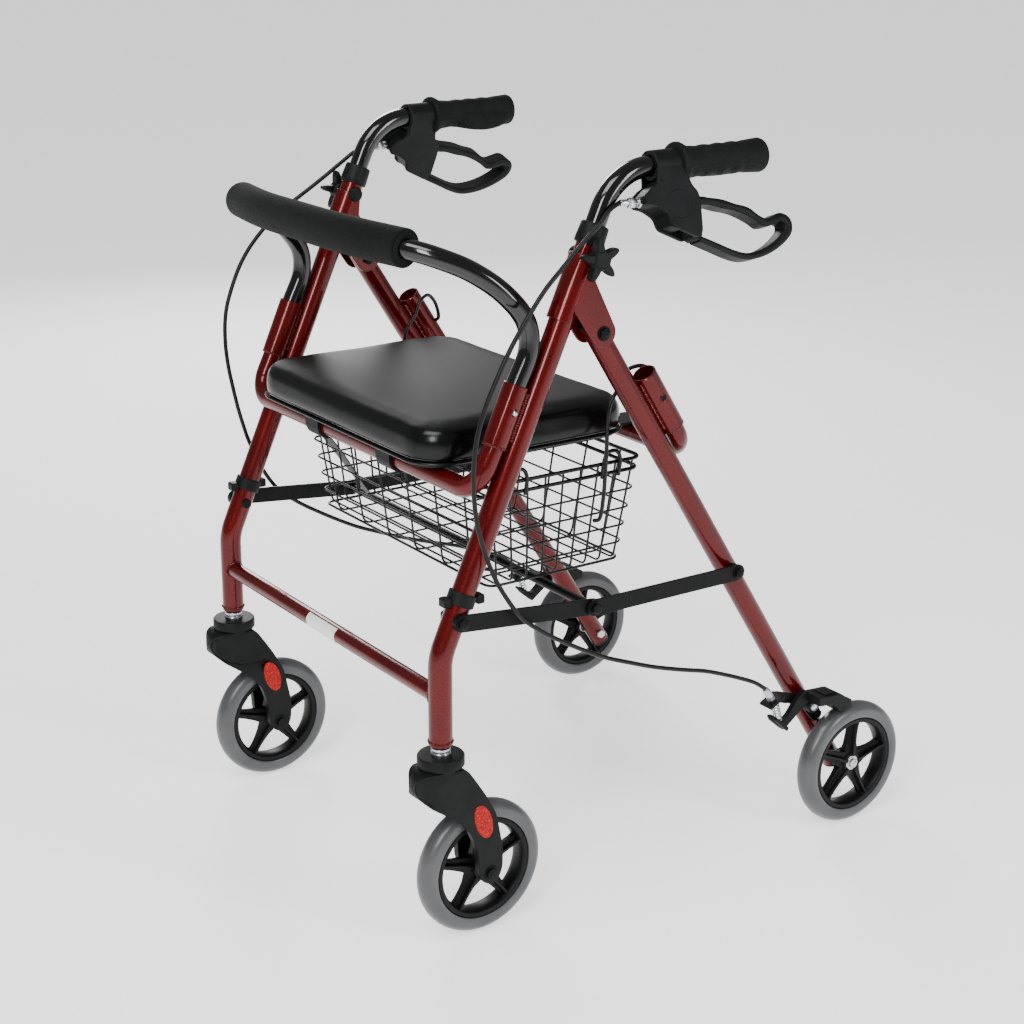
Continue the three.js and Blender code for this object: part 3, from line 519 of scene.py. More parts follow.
# %% Sweeping a round section along a line
def along(points, radius, bm, sides=24, radii=None, flatten=(1.0, 1.0)):
    """Adds a closed tube to bm. radii gives one factor per point, for round ends and beads."""
    tangents = []
    for i in range(len(points)):
        before = points[max(i - 1, 0)]
        after = points[min(i + 1, len(points) - 1)]
        tangents.append((after - before).normalized())
    side = tangents[0].orthogonal().normalized()
    if abs(tangents[0].x) < 0.9:
        side = (Vector((1, 0, 0)) - tangents[0] * tangents[0].x).normalized()
    rings = []
    for i, (point, tangent) in enumerate(zip(points, tangents)):
        side = (side - tangent * side.dot(tangent)).normalized()
        other = tangent.cross(side)
        size = radius * MM * (radii[i] if radii else 1.0)
        ring = []
        for k in range(sides):
            turn = 2 * math.pi * k / sides
            offset = side * math.cos(turn) * flatten[0] + other * math.sin(turn) * flatten[1]
            ring.append(bm.verts.new(point + offset * size))
        rings.append(ring)
    for low, high in zip(rings, rings[1:]):
        for k in range(sides):
            bm.faces.new((low[k], low[(k + 1) % sides], high[(k + 1) % sides], high[k]))
    bm.faces.new(list(reversed(rings[0])))
    bm.faces.new(rings[-1])


def with_round_ends(points, radius, round_mm, steps=3):
    """Points and radius factors that soften both cut ends of a tube over round_mm."""
    first = (points[1] - points[0]).normalized()
    last = (points[-1] - points[-2]).normalized()
    head, tail, factors = [], [], []
    for k in range(steps):
        turn = math.pi / 2 * k / steps
        inset = round_mm * (1 - math.sin(turn))
        shrink = 1 - (round_mm / radius) * (1 - math.cos(math.pi / 2 - turn))
        head.append(points[0] + first * (round_mm - inset) * MM)
        tail.append(points[-1] - last * (round_mm - inset) * MM)
        factors.append(shrink)
    inner_head = points[0] + first * round_mm * MM
    inner_tail = points[-1] - last * round_mm * MM
    middle = [inner_head] + points[1:-1] + [inner_tail]
    return head + middle + tail[::-1], factors + [1.0] * len(middle) + factors[::-1]


def filleted(corners, radius, steps=10):
    """A line through the corners whose inner corners are arcs of the given radius in millimetres."""
    points = [corners[0]]
    for before, corner, after in zip(corners, corners[1:], corners[2:]):
        to_before = (before - corner).normalized()
        to_after = (after - corner).normalized()
        half = to_before.angle(to_after) / 2
        reach = radius * MM / math.tan(half)
        centre = corner + (to_before + to_after).normalized() * (radius * MM / math.sin(half))
        start = corner + to_before * reach - centre
        end = corner + to_after * reach - centre
        for k in range(steps + 1):
            points.append(centre + start.slerp(end, k / steps).normalized() * radius * MM)
    return points + [corners[-1]]


def flowing(points, per_span=8):
    """A smooth curve through the points (centripetal Catmull-Rom)."""
    padded = [points[0] * 2 - points[1]] + list(points) + [points[-1] * 2 - points[-2]]
    line = []
    for p0, p1, p2, p3 in zip(padded, padded[1:], padded[2:], padded[3:]):
        t1 = math.sqrt((p1 - p0).length)
        t2 = t1 + math.sqrt((p2 - p1).length)
        t3 = t2 + math.sqrt((p3 - p2).length)
        for k in range(per_span):
            t = t1 + (t2 - t1) * k / per_span
            a1 = p0 * ((t1 - t) / t1) + p1 * (t / t1)
            a2 = p1 * ((t2 - t) / (t2 - t1)) + p2 * ((t - t1) / (t2 - t1))
            a3 = p2 * ((t3 - t) / (t3 - t2)) + p3 * ((t - t2) / (t3 - t2))
            b1 = a1 * ((t2 - t) / t2) + a2 * (t / t2)
            b2 = a2 * ((t3 - t) / (t3 - t1)) + a3 * ((t - t1) / (t3 - t1))
            line.append(b1 * ((t2 - t) / (t2 - t1)) + b2 * ((t - t1) / (t2 - t1)))
    return line + [points[-1]]


# %% Turning a profile, and giving thickness to an outline
def turn_profile(bm, profile, centre, axis=(1, 0, 0), sides=48, scale=None):
    """Adds a turned body: profile is [distance along the axis, radius] in millimetres."""
    axis = Vector(axis).normalized()
    side = axis.orthogonal().normalized()
    if abs(axis.z) < 0.9:
        side = (Vector((0, 0, 1)) - axis * axis.z).normalized()
    other = axis.cross(side)
    rings = []
    for distance, radius in profile:
        point = centre + axis * distance * MM
        if radius < 1e-6:
            rings.append([bm.verts.new(point)])
            continue
        ring = []
        for k in range(sides):
            turn = 2 * math.pi * k / sides
            reach = radius * (scale(turn, distance) if scale else 1.0)
            ring.append(bm.verts.new(point + (side * math.cos(turn) + other * math.sin(turn)) * reach * MM))
        rings.append(ring)
    for low, high in zip(rings, rings[1:]):
        for k in range(sides):
            n = (k + 1) % sides
            if len(low) == 1 and len(high) == 1:
                continue
            if len(low) == 1:
                bm.faces.new((low[0], high[n], high[k]))
            elif len(high) == 1:
                bm.faces.new((low[k], low[n], high[0]))
            else:
                bm.faces.new((low[k], low[n], high[n], high[k]))
    closes = profile[0] == profile[-1]
    if closes:
        bmesh.ops.remove_doubles(bm, verts=rings[0] + rings[-1], dist=1e-7)
    else:
        for ring in (rings[0], rings[-1]):
            if len(ring) > 1:
                bm.faces.new(ring)


def softened(outline, radius, steps=4):
    """A closed outline of (y, z) pairs with its corners rounded, as far as the sides allow."""
    rounded = []
    count = len(outline)
    for i in range(count):
        corner = Vector(outline[i])
        before = Vector(outline[i - 1]) - corner
        after = Vector(outline[(i + 1) % count]) - corner
        reach = min(radius, before.length * 0.45, after.length * 0.45)
        start = corner + before.normalized() * reach
        end = corner + after.normalized() * reach
        for k in range(steps + 1):
            t = k / steps
            rounded.append(start * (1 - t) ** 2 + corner * 2 * t * (1 - t) + end * t * t)
    return [tuple(p) for p in rounded]


def slab_from(bm, outline, x, thickness):
    """Adds a flat body in the y-z plane, centred on x, from a closed outline of (y, z) pairs."""
    rings = []
    for side in (-0.5, 0.5):
        rings.append([bm.verts.new(at(x + thickness * side, y, z)) for y, z in outline])
    count = len(outline)
    for i in range(count):
        n = (i + 1) % count
        bm.faces.new((rings[0][i], rings[0][n], rings[1][n], rings[1][i]))
    bm.faces.new(rings[0][::-1])
    bm.faces.new(rings[1])


def slot_outline(start, end, radius, steps=10):
    (y0, z0), (y1, z1) = start, end
    heading = math.atan2(z1 - z0, y1 - y0)
    outline = []
    for (y, z), turn in (((y1, z1), heading - math.pi / 2), ((y0, z0), heading + math.pi / 2)):
        for k in range(steps + 1):
            angle = turn + math.pi * k / steps
            outline.append((y + radius * math.cos(angle), z + radius * math.sin(angle)))
    return outline


def circle_outline(centre, radius, steps=24, stretch=(1.0, 1.0), lean=0.0):
    outline = []
    for k in range(steps):
        turn = 2 * math.pi * k / steps
        a, b = radius * stretch[0] * math.cos(turn), radius * stretch[1] * math.sin(turn)
        outline.append((centre[0] + a * math.cos(lean) - b * math.sin(lean),
                        centre[1] + a * math.sin(lean) + b * math.cos(lean)))
    return outline


# %% [markdown]
# ### Beads of weld
# The sleeves and the cross tube are arc welded, so a lumpy bead runs along each seam under the paint.
# A bead is a thin tube whose radius swells and shrinks along its length, half sunk into both tubes.

# %% Weld bead
def weld_bead(bm, points, radius, ripple_mm=2.6):
    length = sum((b - a).length for a, b in zip(points, points[1:])) / MM
    count = max(int(length / ripple_mm) * 3, 8)
    line, factors = [], []
    for i in range(count + 1):
        place = i / count * (len(points) - 1)
        k = min(int(place), len(points) - 2)
        line.append(points[k].lerp(points[k + 1], place - k))
        factors.append((0.35 if i in (0, count) else 1.0) * (1 + 0.2 * math.sin(i * 2.1)
                                                             + 0.12 * math.sin(i * 0.7)))
    along(line, radius, bm, sides=10, radii=factors)


# %% [markdown]
# ## Side frames
# Each side frame is an A: a front leg with one bend, and a straight rear leg hung from a bracket near
# the top. The tubes are swept at a higher resolution than the frame's own solids, with softened cut
# ends, so that highlights run along them without facets.

# %% Front legs, their hinge brackets and the pivot bolts
BRACKET_CLEAR = LEG_R + 3.3


def front_leg(bm):
    corners = [at(SIDE_X, LEG_BEND[0], 229), at(SIDE_X, *LEG_BEND), at(SIDE_X, *LEG_TOP)]
    line, factors = with_round_ends(filleted(corners, 62, 12), LEG_R, 1.2)
    along(line, LEG_R, bm, sides=36, radii=factors)
    # Swaged end with a ring of weld where the caster's stem enters.
    weld_bead(bm, [at(SIDE_X, LEG_BEND[0], 234) + Vector((math.cos(a), math.sin(a), 0)) * 12.5 * MM
                   for a in [2 * math.pi * k / 24 for k in range(25)]], 1.5)


def hinge_bracket(bm):
    high, low = 722.0, 668.0
    for side in (-1, 1):
        outline = [(front_y(high), high + 2), (front_y(high - 5) + 9, high - 3), (front_y(700) + 14.5, 700)]
        outline += [(PIVOT[0] + 15.5 * math.cos(a), PIVOT[1] + 15.5 * math.sin(a))
                    for a in [0.62 - math.pi * k / 12 for k in range(13)]]
        outline += [(front_y(low) + 1, low + 6)]
        slab_from(bm, outline, SIDE_X + side * (LEG_R + 1.75), 3.0)
    # The same sheet wraps the front of the leg as half a sleeve.
    rows = 10
    rings = []
    for z in (low - 8, high + 2):
        centre = at(SIDE_X, front_y(z), z)
        lean = up_front.cross(Vector((1, 0, 0)))
        ring = []
        for reach in (LEG_R + 0.1, LEG_R + 3.1):
            for k in range(rows + 1):
                turn = math.pi * k / rows
                ring.append(centre
                            + (Vector((1, 0, 0)) * math.cos(turn)
                               + lean * math.sin(turn) * -1) * reach * MM)
        rings.append([bm.verts.new(p) for p in ring])
    n = rows + 1
    loop = list(range(n)) + list(range(2 * n - 1, n - 1, -1))
    for i in range(len(loop)):
        a, b = loop[i], loop[(i + 1) % len(loop)]
        bm.faces.new((rings[0][a], rings[0][b], rings[1][b], rings[1][a]))
    for ring in rings:
        for k in range(rows):
            bm.faces.new((ring[k], ring[k + 1], ring[n + k + 1], ring[n + k]))


def hex_bolt(bm, centre, inner, outer, shank, head=6.5, height=4.2):
    """Adds a bolt along x from inner to outer, with a domed hexagon head outside and a nut inside."""
    turn_profile(bm,
                 [(inner - height, 0), (inner - height, head * 0.9), (inner - height + 1, head),
                  (inner, head), (inner, 0)], centre, sides=6)
    turn_profile(bm, [(inner - 1, shank), (outer + 1, shank)], centre, sides=20)
    turn_profile(bm, [(outer, head + 1.5), (outer + 1, head + 1.5)], centre, sides=28)
    turn_profile(bm, [(outer + 1, head), (outer + height - 1, head), (outer + height, head * 0.86)],
                 centre, sides=6)
    turn_profile(bm, [(outer + height - 0.2, head * 0.6), (outer + height + 0.9, head * 0.45),
                      (outer + height + 1.2, 0)], centre, sides=16)


for side, s in SIDES:
    flip = s < 0
    finish_piece(f"front_leg_tube_{side}", mesh_from(front_leg, flip), RED, "front_frame",
                 [f"front_leg_{side}"])
    finish_piece(f"hinge_bracket_{side}", mesh_from(hinge_bracket, flip), RED, "front_frame",
                 bevel=0.7)

    def pivot_bolt(bm):
        hex_bolt(bm, at(0, *PIVOT), SIDE_X - BRACKET_CLEAR, SIDE_X + BRACKET_CLEAR, 3.9)
    finish_piece(f"pivot_screw_{side}", mesh_from(pivot_bolt, flip), STRIP_STEEL, "front_frame",
                 [f"pivot_bolt_{side}"], bevel=0.4)

    def collar(bm):
        base = at(SIDE_X, *LEG_TOP) - up_front * 10 * MM
        turn_profile(bm,
                     [(0, LEG_R + 0.2), (0, 14.9), (1, 15.6), (5, 15.7), (20, 15.0), (21.6, 14.3),
                      (22, 13), (22, POST_R + 0.25), (11, POST_R + 0.25), (10.5, LEG_R + 0.2),
                      (0, LEG_R + 0.2)], base, axis=up_front, sides=40)
    finish_piece(f"post_collar_{side}", mesh_from(collar, flip), NYLON, "front_frame",
                 [f"collar_{side}"])

# %% Front cross tube with its welds and a blank label
WELD_REACH = 10.2  # from the cross tube's axis to the middle of the bead
LABEL_X = (-32, 31)
LABEL_REACH = (9.62, 9.72)  # inner and outer face of the film


def cross_tube(bm):
    line = [at(-SIDE_X + 10, LEG_BEND[0], CROSS_TUBE_Z), at(SIDE_X - 10, LEG_BEND[0], CROSS_TUBE_Z)]
    along(line, CROSS_TUBE_R, bm, sides=32)
    for s in (-1, 1):
        ring = []
        for k in range(25):
            turn = 2 * math.pi * k / 24
            y, z = LEG_BEND[0] + WELD_REACH * math.cos(turn), CROSS_TUBE_Z + WELD_REACH * math.sin(turn)
            x = SIDE_X - math.sqrt(LEG_R ** 2 - (WELD_REACH * math.cos(turn)) ** 2) + 0.2
            ring.append(at(s * x, y, z))
        weld_bead(bm, ring, 1.5)


finish_piece("front_crossbar", mesh_from(cross_tube), RED, "front_frame",
             ["front_cross_tube"])


def label(bm):
    rows = 8
    for reach in LABEL_REACH:
        for k in range(rows + 1):
            turn = math.radians(115 + 110 * k / rows)
            y, z = LEG_BEND[0] + reach * math.cos(turn), CROSS_TUBE_Z + reach * math.sin(turn)
            for x in LABEL_X:
                bm.verts.new(at(x, y, z))
    bm.verts.ensure_lookup_table()
    outer = 2 * (rows + 1)
    for k in range(rows):
        a = outer + 2 * k
        bm.faces.new([bm.verts[i] for i in (a, a + 1, a + 3, a + 2)])
        b = 2 * k
        bm.faces.new([bm.verts[i] for i in (b, b + 2, b + 3, b + 1)])
    for a in (0, 2 * rows):
        bm.faces.new([bm.verts[i] for i in (a, a + 1, outer + a + 1, outer + a)])
    for x in (0, 1):
        for k in range(rows):
            bm.faces.new([bm.verts[i]
                          for i in (2 * k + x, 2 * k + 2 + x, outer + 2 * k + 2 + x, outer + 2 * k + x)])


finish_piece("blank_label", mesh_from(label), LABEL, "front_frame")


# %% [markdown]
# ### Seat tubes and their sleeves
# Under the seat run two U-shaped tubes. Each end stands in a short sleeve of larger tube that is
# welded beside the leg. The sleeve is open at the top: at the front the backrest plugs into it.

# %% Seat tubes
def open_sleeve(bm, bottom, mouth, up, reach=SLEEVE_R, bore=11.5, depth=45):
    length = (mouth - bottom).length / MM
    turn_profile(bm,
                 [(-4, POST_R), (-4, reach - 0.8), (-3.2, reach), (length - 0.8, reach),
                  (length, reach - 0.7), (length, bore), (length - depth, bore), (length - depth, 0)],
                 bottom, axis=up, sides=36)


def seat_tube(bm, socket_y, cross_y, up, low_z, high_z, leg_y):
    bottom = [at(s * SIDE_X, socket_y(low_z), low_z) for s in (1, -1)]
    mouth = [at(s * SIDE_X, socket_y(high_z), high_z) for s in (1, -1)]
    corners = [bottom[0], at(SIDE_X, cross_y, SEAT_TUBE_Z), at(-SIDE_X, cross_y, SEAT_TUBE_Z), bottom[1]]
    along(filleted(corners, 30, 10), POST_R, bm, sides=32)
    for low, high in zip(bottom, mouth):
        open_sleeve(bm, low, high, up)
        ring = []
        for k in range(21):
            turn = 2 * math.pi * k / 20
            across = Vector((math.cos(turn), 0, 0)) + up.cross(Vector((1, 0, 0))) * math.sin(turn)
            ring.append(low - up * 4.5 * MM + across * 11.8 * MM)
        weld_bead(bm, ring, 1.4)
        # Two seams where sleeve and leg touch, one on each side of the line of contact.
        to_leg = up.cross(Vector((1, 0, 0)))
        if (at(0, leg_y(low_z), low_z) - at(0, socket_y(low_z), low_z)).dot(to_leg) < 0:
            to_leg = -to_leg
        for across in (-1, 1):
            seam = []
            for k in range(13):
                point = low.lerp(high, 0.06 + 0.88 * k / 12)
                seam.append(point + to_leg * 13.0 * MM + Vector((across * 6.2 * MM, 0, 0)))
            weld_bead(bm, seam, 2.3)


front_bar = mesh_from(lambda bm: seat_tube(bm, front_socket_y, FRONT_BAR_Y, up_front, *FRONT_SLEEVE,
                                           front_y))
finish_piece("front_seat_bar", front_bar, RED, "front_frame", ["front_seat_tube"])
rear_bar = mesh_from(lambda bm: seat_tube(bm, rear_socket_y, REAR_BAR_Y, up_rear, *REAR_SLEEVE, rear_y))
finish_piece("rear_seat_bar", rear_bar, RED, "rear_frame", ["rear_seat_tube"])


# The button's hole in each sleeve: a rolled lip round a black disc, painted shade standing for the dark
# inside of the hole.
def sleeve_holes(bm, socket_y, low_z, high_z, lip):
    z = low_z + 0.55 * (high_z - low_z)
    centre = at(SIDE_X, socket_y(z), z)
    if lip:
        turn_profile(bm, [(12.6, 3.6), (12.6, 4.6), (13.5, 4.5), (13.7, 4.0), (13.5, 3.6), (12.6, 3.6)],
                     centre, sides=28)
    else:
        # A flat black disc just inside the hole: painted shade where a real hole would only look dark.
        turn_profile(bm, [(12.4, 0), (12.4, 3.7), (13.3, 3.7), (13.3, 0)], centre, sides=24)


for end, socket_y, low_z, high_z, body in (("front", front_socket_y, 546, 602, "front_frame"),
                                           ("rear", rear_socket_y, 531, 591, "rear_frame")):
    for side, s in SIDES:
        # The bore pieces are black discs of painted shade, not real hollows.
        for part, lip, finish, slot in (("lip", True, RED, "frame_paint"), ("bore", False, RUBBER, None)):
            finish_piece(f"sleeve_{part}_{end}_{side}",
                         mesh_from(lambda bm: sleeve_holes(bm, socket_y, low_z, high_z, lip), s < 0),
                         finish, body)

# %% Rear legs with plugged feet, and the rear axles
for side, s in SIDES:
    flip = s < 0

    def rear_leg(bm):
        line, factors = with_round_ends([at(SIDE_X, rear_y(62), 62),
                                         at(SIDE_X, *PIVOT) + up_rear * 11 * MM], 12.4, 1.0)
        along(line, 12.4, bm, sides=36, radii=factors)
    finish_piece(f"rear_leg_tube_{side}", mesh_from(rear_leg, flip), RED, "rear_frame",
                 [f"rear_leg_{side}"])

    def leg_plug(bm):
        foot = at(SIDE_X, rear_y(62), 62)
        turn_profile(bm, [(-3.4, 0), (-3.2, 9), (-2.2, 11.8), (-0.4, 12.6), (0.6, 12.6), (0.6, 0)], foot,
                     axis=up_rear, sides=32)
        head = at(SIDE_X, *PIVOT) + up_rear * 11 * MM
        turn_profile(bm, [(-1, 0), (-1, 12.5), (0.6, 12.5), (1.6, 11.4), (2.2, 0)], head, axis=up_rear,
                     sides=32)
    finish_piece(f"rear_leg_plugs_{side}", mesh_from(leg_plug, flip), NYLON, "rear_frame")

    def rear_axle(bm):
        centre = at(0, *REAR_AXLE)
        hex_bolt(bm, centre, SIDE_X - LEG_R - 0.2, REAR_WHEEL_X + 8.0, 4.5, head=6.3)
        turn_profile(bm, [(SIDE_X + LEG_R, 8.0), (REAR_WHEEL_X - 13.3, 8.0)], centre, sides=28)
    finish_piece(f"rear_axle_bolt_{side}", mesh_from(rear_axle, flip), ZINC, "rear_frame",
                 [f"rear_axle_{side}"], bevel=0.35)

# %% [markdown]
# ### Folding links
# Two flat steel bars on each side hold the legs apart. They meet at a round cross rod that runs under
# the basket, and each end turns on a bolt through the leg.

# %% Links, their bolts and the cross rod
LINK_FRONT = (-286.5, 366.0)
LINK_MID = (-121.0, 349.0)
LINK_REAR = (79.0, 348.0)
FRONT_LINK_X = 252.0
REAR_LINK_X = 255.6

for side, s in SIDES:
    flip = s < 0
    finish_piece(f"front_folding_link_{side}",
                 mesh_from(lambda bm: slab_from(bm, slot_outline(LINK_FRONT, LINK_MID, 9.3), FRONT_LINK_X,
                                                3), flip), STRIP_STEEL, "front_links",
                 [f"front_link_{side}"], bevel=0.5)
    finish_piece(f"rear_folding_link_{side}",
                 mesh_from(lambda bm: slab_from(bm, slot_outline(LINK_MID, LINK_REAR, 9.3), REAR_LINK_X,
                                                3), flip), STRIP_STEEL, "rear_links",
                 [f"rear_link_{side}"], bevel=0.5)

    def middle_bolt(bm):
        turn_profile(bm, [(REAR_LINK_X + 1.5, 8), (REAR_LINK_X + 2.6, 8)], at(0, *LINK_MID), sides=28)
        turn_profile(bm, [(REAR_LINK_X + 2.6, 6), (REAR_LINK_X + 6, 6), (REAR_LINK_X + 6.8, 5)],
                     at(0, *LINK_MID), sides=6)
    finish_piece(f"middle_bolt_{side}", mesh_from(middle_bolt, flip), STRIP_STEEL, "rear_links",
                 bevel=0.4)

    def front_bolt(bm):
        turn_profile(bm, [(SIDE_X + 11.5, 9.5), (FRONT_LINK_X - 1.7, 9.5)], at(0, *LINK_FRONT), sides=28)
        hex_bolt(bm, at(0, *LINK_FRONT), SIDE_X - LEG_R, FRONT_LINK_X + 1.6, 3.3, head=6.2)
    finish_piece(f"front_link_screw_{side}", mesh_from(front_bolt, flip), STRIP_STEEL, "front_frame",
                 [f"front_link_bolt_{side}"], bevel=0.4)

    def rear_bolt(bm):
        turn_profile(bm, [(SIDE_X + 11.8, 8.5), (REAR_LINK_X - 1.7, 8.5)], at(0, *LINK_REAR), sides=28)
        hex_bolt(bm, at(0, *LINK_REAR), SIDE_X - LEG_R, REAR_LINK_X + 1.6, 3.2, head=6.2)
    finish_piece(f"rear_link_screw_{side}", mesh_from(rear_bolt, flip), STRIP_STEEL, "rear_frame",
                 [f"rear_link_bolt_{side}"], bevel=0.4)

finish_piece("cross_bar",
             mesh_from(lambda bm: along([at(-250.2, *LINK_MID), at(250.2, *LINK_MID)], 5, bm, sides=20)),
             STRIP_STEEL, "front_links", ["cross_rod"])
print("frame pieces:", len(made))

# %% [markdown]
# ## Wheels
# All four wheels are the same: a rim moulded in glass-filled nylon with five ribbed spokes, and a
# grey polyurethane tyre cast on it. Rim and tyre are turned profiles, and a spoke is a tapered web
# with a raised rib down its middle, which is what the light picks out.

# %% Wheels
SPOKES = 5
WHEEL_R = 76.0
TYRE_HALF = 12.5


def rim(bm, centre, hub_out, turn_offset):
    ring = [(-11, 53), (-11.2, 57), (-9, 59.2), (9, 59.2), (11.2, 57), (11, 53), (9.4, 51.5), (3.5, 50.2),
            (-3.5, 50.2), (-9.4, 51.5), (-11, 53)]
    turn_profile(bm, ring, centre, sides=72)
    turn_profile(bm, [(-13, 5), (-13, 12), (-12, 13), (hub_out - 1, 13), (hub_out, 12), (hub_out, 9.8),
                      (hub_out - 1.4, 9.4), (hub_out - 1.4, 5), (-13, 5)], centre, sides=40)
    for k in range(SPOKES):
        angle = 2 * math.pi * k / SPOKES + turn_offset
        radial = Vector((0, math.cos(angle), math.sin(angle)))
        across = Vector((0, -math.sin(angle), math.cos(angle)))
        # Sections along the spoke: distance out, half width of the web, half width of the rib, half depth.
        sections = [(9, 10.5, 3.2, 6.2, 10.5), (16, 9.6, 2.8, 4.6, 10.0), (24, 8.0, 2.4, 3.0, 9.4),
                    (36, 6.4, 2.1, 2.4, 8.8), (46, 5.6, 2.0, 2.6, 9.0), (52.5, 6.8, 2.4, 3.4, 10.0)]
        rings = []
        for out, web, rib, web_deep, rib_deep in sections:
            outline = [(-web, -web_deep), (-rib, -web_deep - 0.4), (-rib * 0.7, -rib_deep),
                       (rib * 0.7, -rib_deep), (rib, -web_deep - 0.4), (web, -web_deep), (web, web_deep),
                       (rib, web_deep + 0.4), (rib * 0.7, rib_deep), (-rib * 0.7, rib_deep),
                       (-rib, web_deep + 0.4), (-web, web_deep)]
            rings.append([bm.verts.new(centre + (radial * out + across * a + Vector((d, 0, 0))) * MM)
                          for a, d in outline])
        for low, high in zip(rings, rings[1:]):
            for i in range(len(low)):
                n = (i + 1) % len(low)
                bm.faces.new((low[i], low[n], high[n], high[i]))
        bm.faces.new(rings[0][::-1])
        bm.faces.new(rings[-1])


def tyre(bm, centre):
    crown = 10.0
    profile = [(1 - TYRE_HALF, 58.6), (0.3 - TYRE_HALF, 60), (-TYRE_HALF, 63)]
    for k in range(17):
        angle = math.pi * (0.98 - 0.96 * k / 16)
        profile.append((TYRE_HALF * math.cos(angle), WHEEL_R - crown + crown * math.sin(angle)))
    profile += [(TYRE_HALF, 63), (TYRE_HALF - 0.3, 60), (TYRE_HALF - 1, 58.6), (1 - TYRE_HALF, 58.6)]
    turn_profile(bm, profile, centre, sides=96)


def bearing(bm, centre, faces):
    for start, end in faces:
        turn_profile(bm,
                     [(start, 5.0), (start, 8.6), (start + 0.5, 9.2), (end - 0.5, 9.2), (end, 8.6),
                      (end, 5.0), (start, 5.0)], centre, sides=36)


for side, s in SIDES:
    flip = s < 0
    for end, x, axle, hub_out, turn_offset in (("front", SIDE_X, CASTER_AXLE, 13.0, 0.35),
                                               ("rear", REAR_WHEEL_X, REAR_AXLE, 8.7, 0.2)):
        centre = at(x, *axle)
        body = f"{end}_wheel_{side}"
        finish_piece(f"{end}_rim_spoked_{side}",
                     mesh_from(lambda bm: rim(bm, centre, hub_out, turn_offset), flip), RIM_NYLON, body,
                     [f"{end}_rim_{side}"], bevel=0.6, segments=2)
        finish_piece(f"{end}_tyre_cast_{side}", mesh_from(lambda bm: tyre(bm, centre), flip),
                     POLYURETHANE, body, [f"{end}_tyre_{side}"])
        faces = [(hub_out - 1.3, hub_out + 0.1), (-13.4, -12.4)]
        finish_piece(f"{end}_bearings_{side}", mesh_from(lambda bm: bearing(bm, centre, faces), flip),
                     ZINC, body)

# %% [markdown]
# ### Caster forks
# The fork is one moulding: a shoulder with a round nose that leans forward, and two legs that sweep back
# to the axle. Its edges are generously rounded so that it slips out of the mould. Each leg here is an
# outline with thickness and a wide bevel, the shoulder is a loft between them, and all three are drawn in
# towards the middle in front to make the nose.

# %% Fork, bearing disc, stem, axle and reflectors
FORK_OUTLINE = [(-329, 206), (-337, 201), (-340, 190), (-337, 179), (-326, 168), (-306, 154), (-290, 141),
                (-279, 125), (-272.5, 104), (-271, 80), (-267, 68), (-256, 62), (-246, 67), (-241, 79),
                (-240.5, 102), (-249, 145), (-263, 171), (-280, 197), (-287, 206)]
FORK_SHOULDER = [(-327, 207), (-337, 202), (-340, 190), (-337, 179), (-326, 169), (-302, 160),
                 (-272, 160), (-265, 171), (-281, 197), (-288, 207)]
NOSE_CENTRE = -321.0
NOSE_R = 19.0
FORK_HALF = 25.0


def nose_width(y):
    """Half width of the fork, seen from above: a round nose in front that widens to the two legs."""
    if y > NOSE_CENTRE:
        reach = min((y - NOSE_CENTRE) / 24.0, 1.0)
        return NOSE_R + (FORK_HALF - NOSE_R) * (3 * reach ** 2 - 2 * reach ** 3)
    return math.sqrt(max(NOSE_R ** 2 - (NOSE_CENTRE - y) ** 2, 5.0))


def rounded_nose(bm):
    """Draws every vertex towards the fork's middle plane as far as the nose asks."""
    for v in bm.verts:
        y = v.co.y / MM - CENTRE_SHIFT
        across = v.co.x / MM - SIDE_X
        v.co.x = (SIDE_X + across * nose_width(y) / FORK_HALF) * MM


REFLECTOR = (-266.0, 140.0)
REFLECTOR_LEAN = math.radians(18)

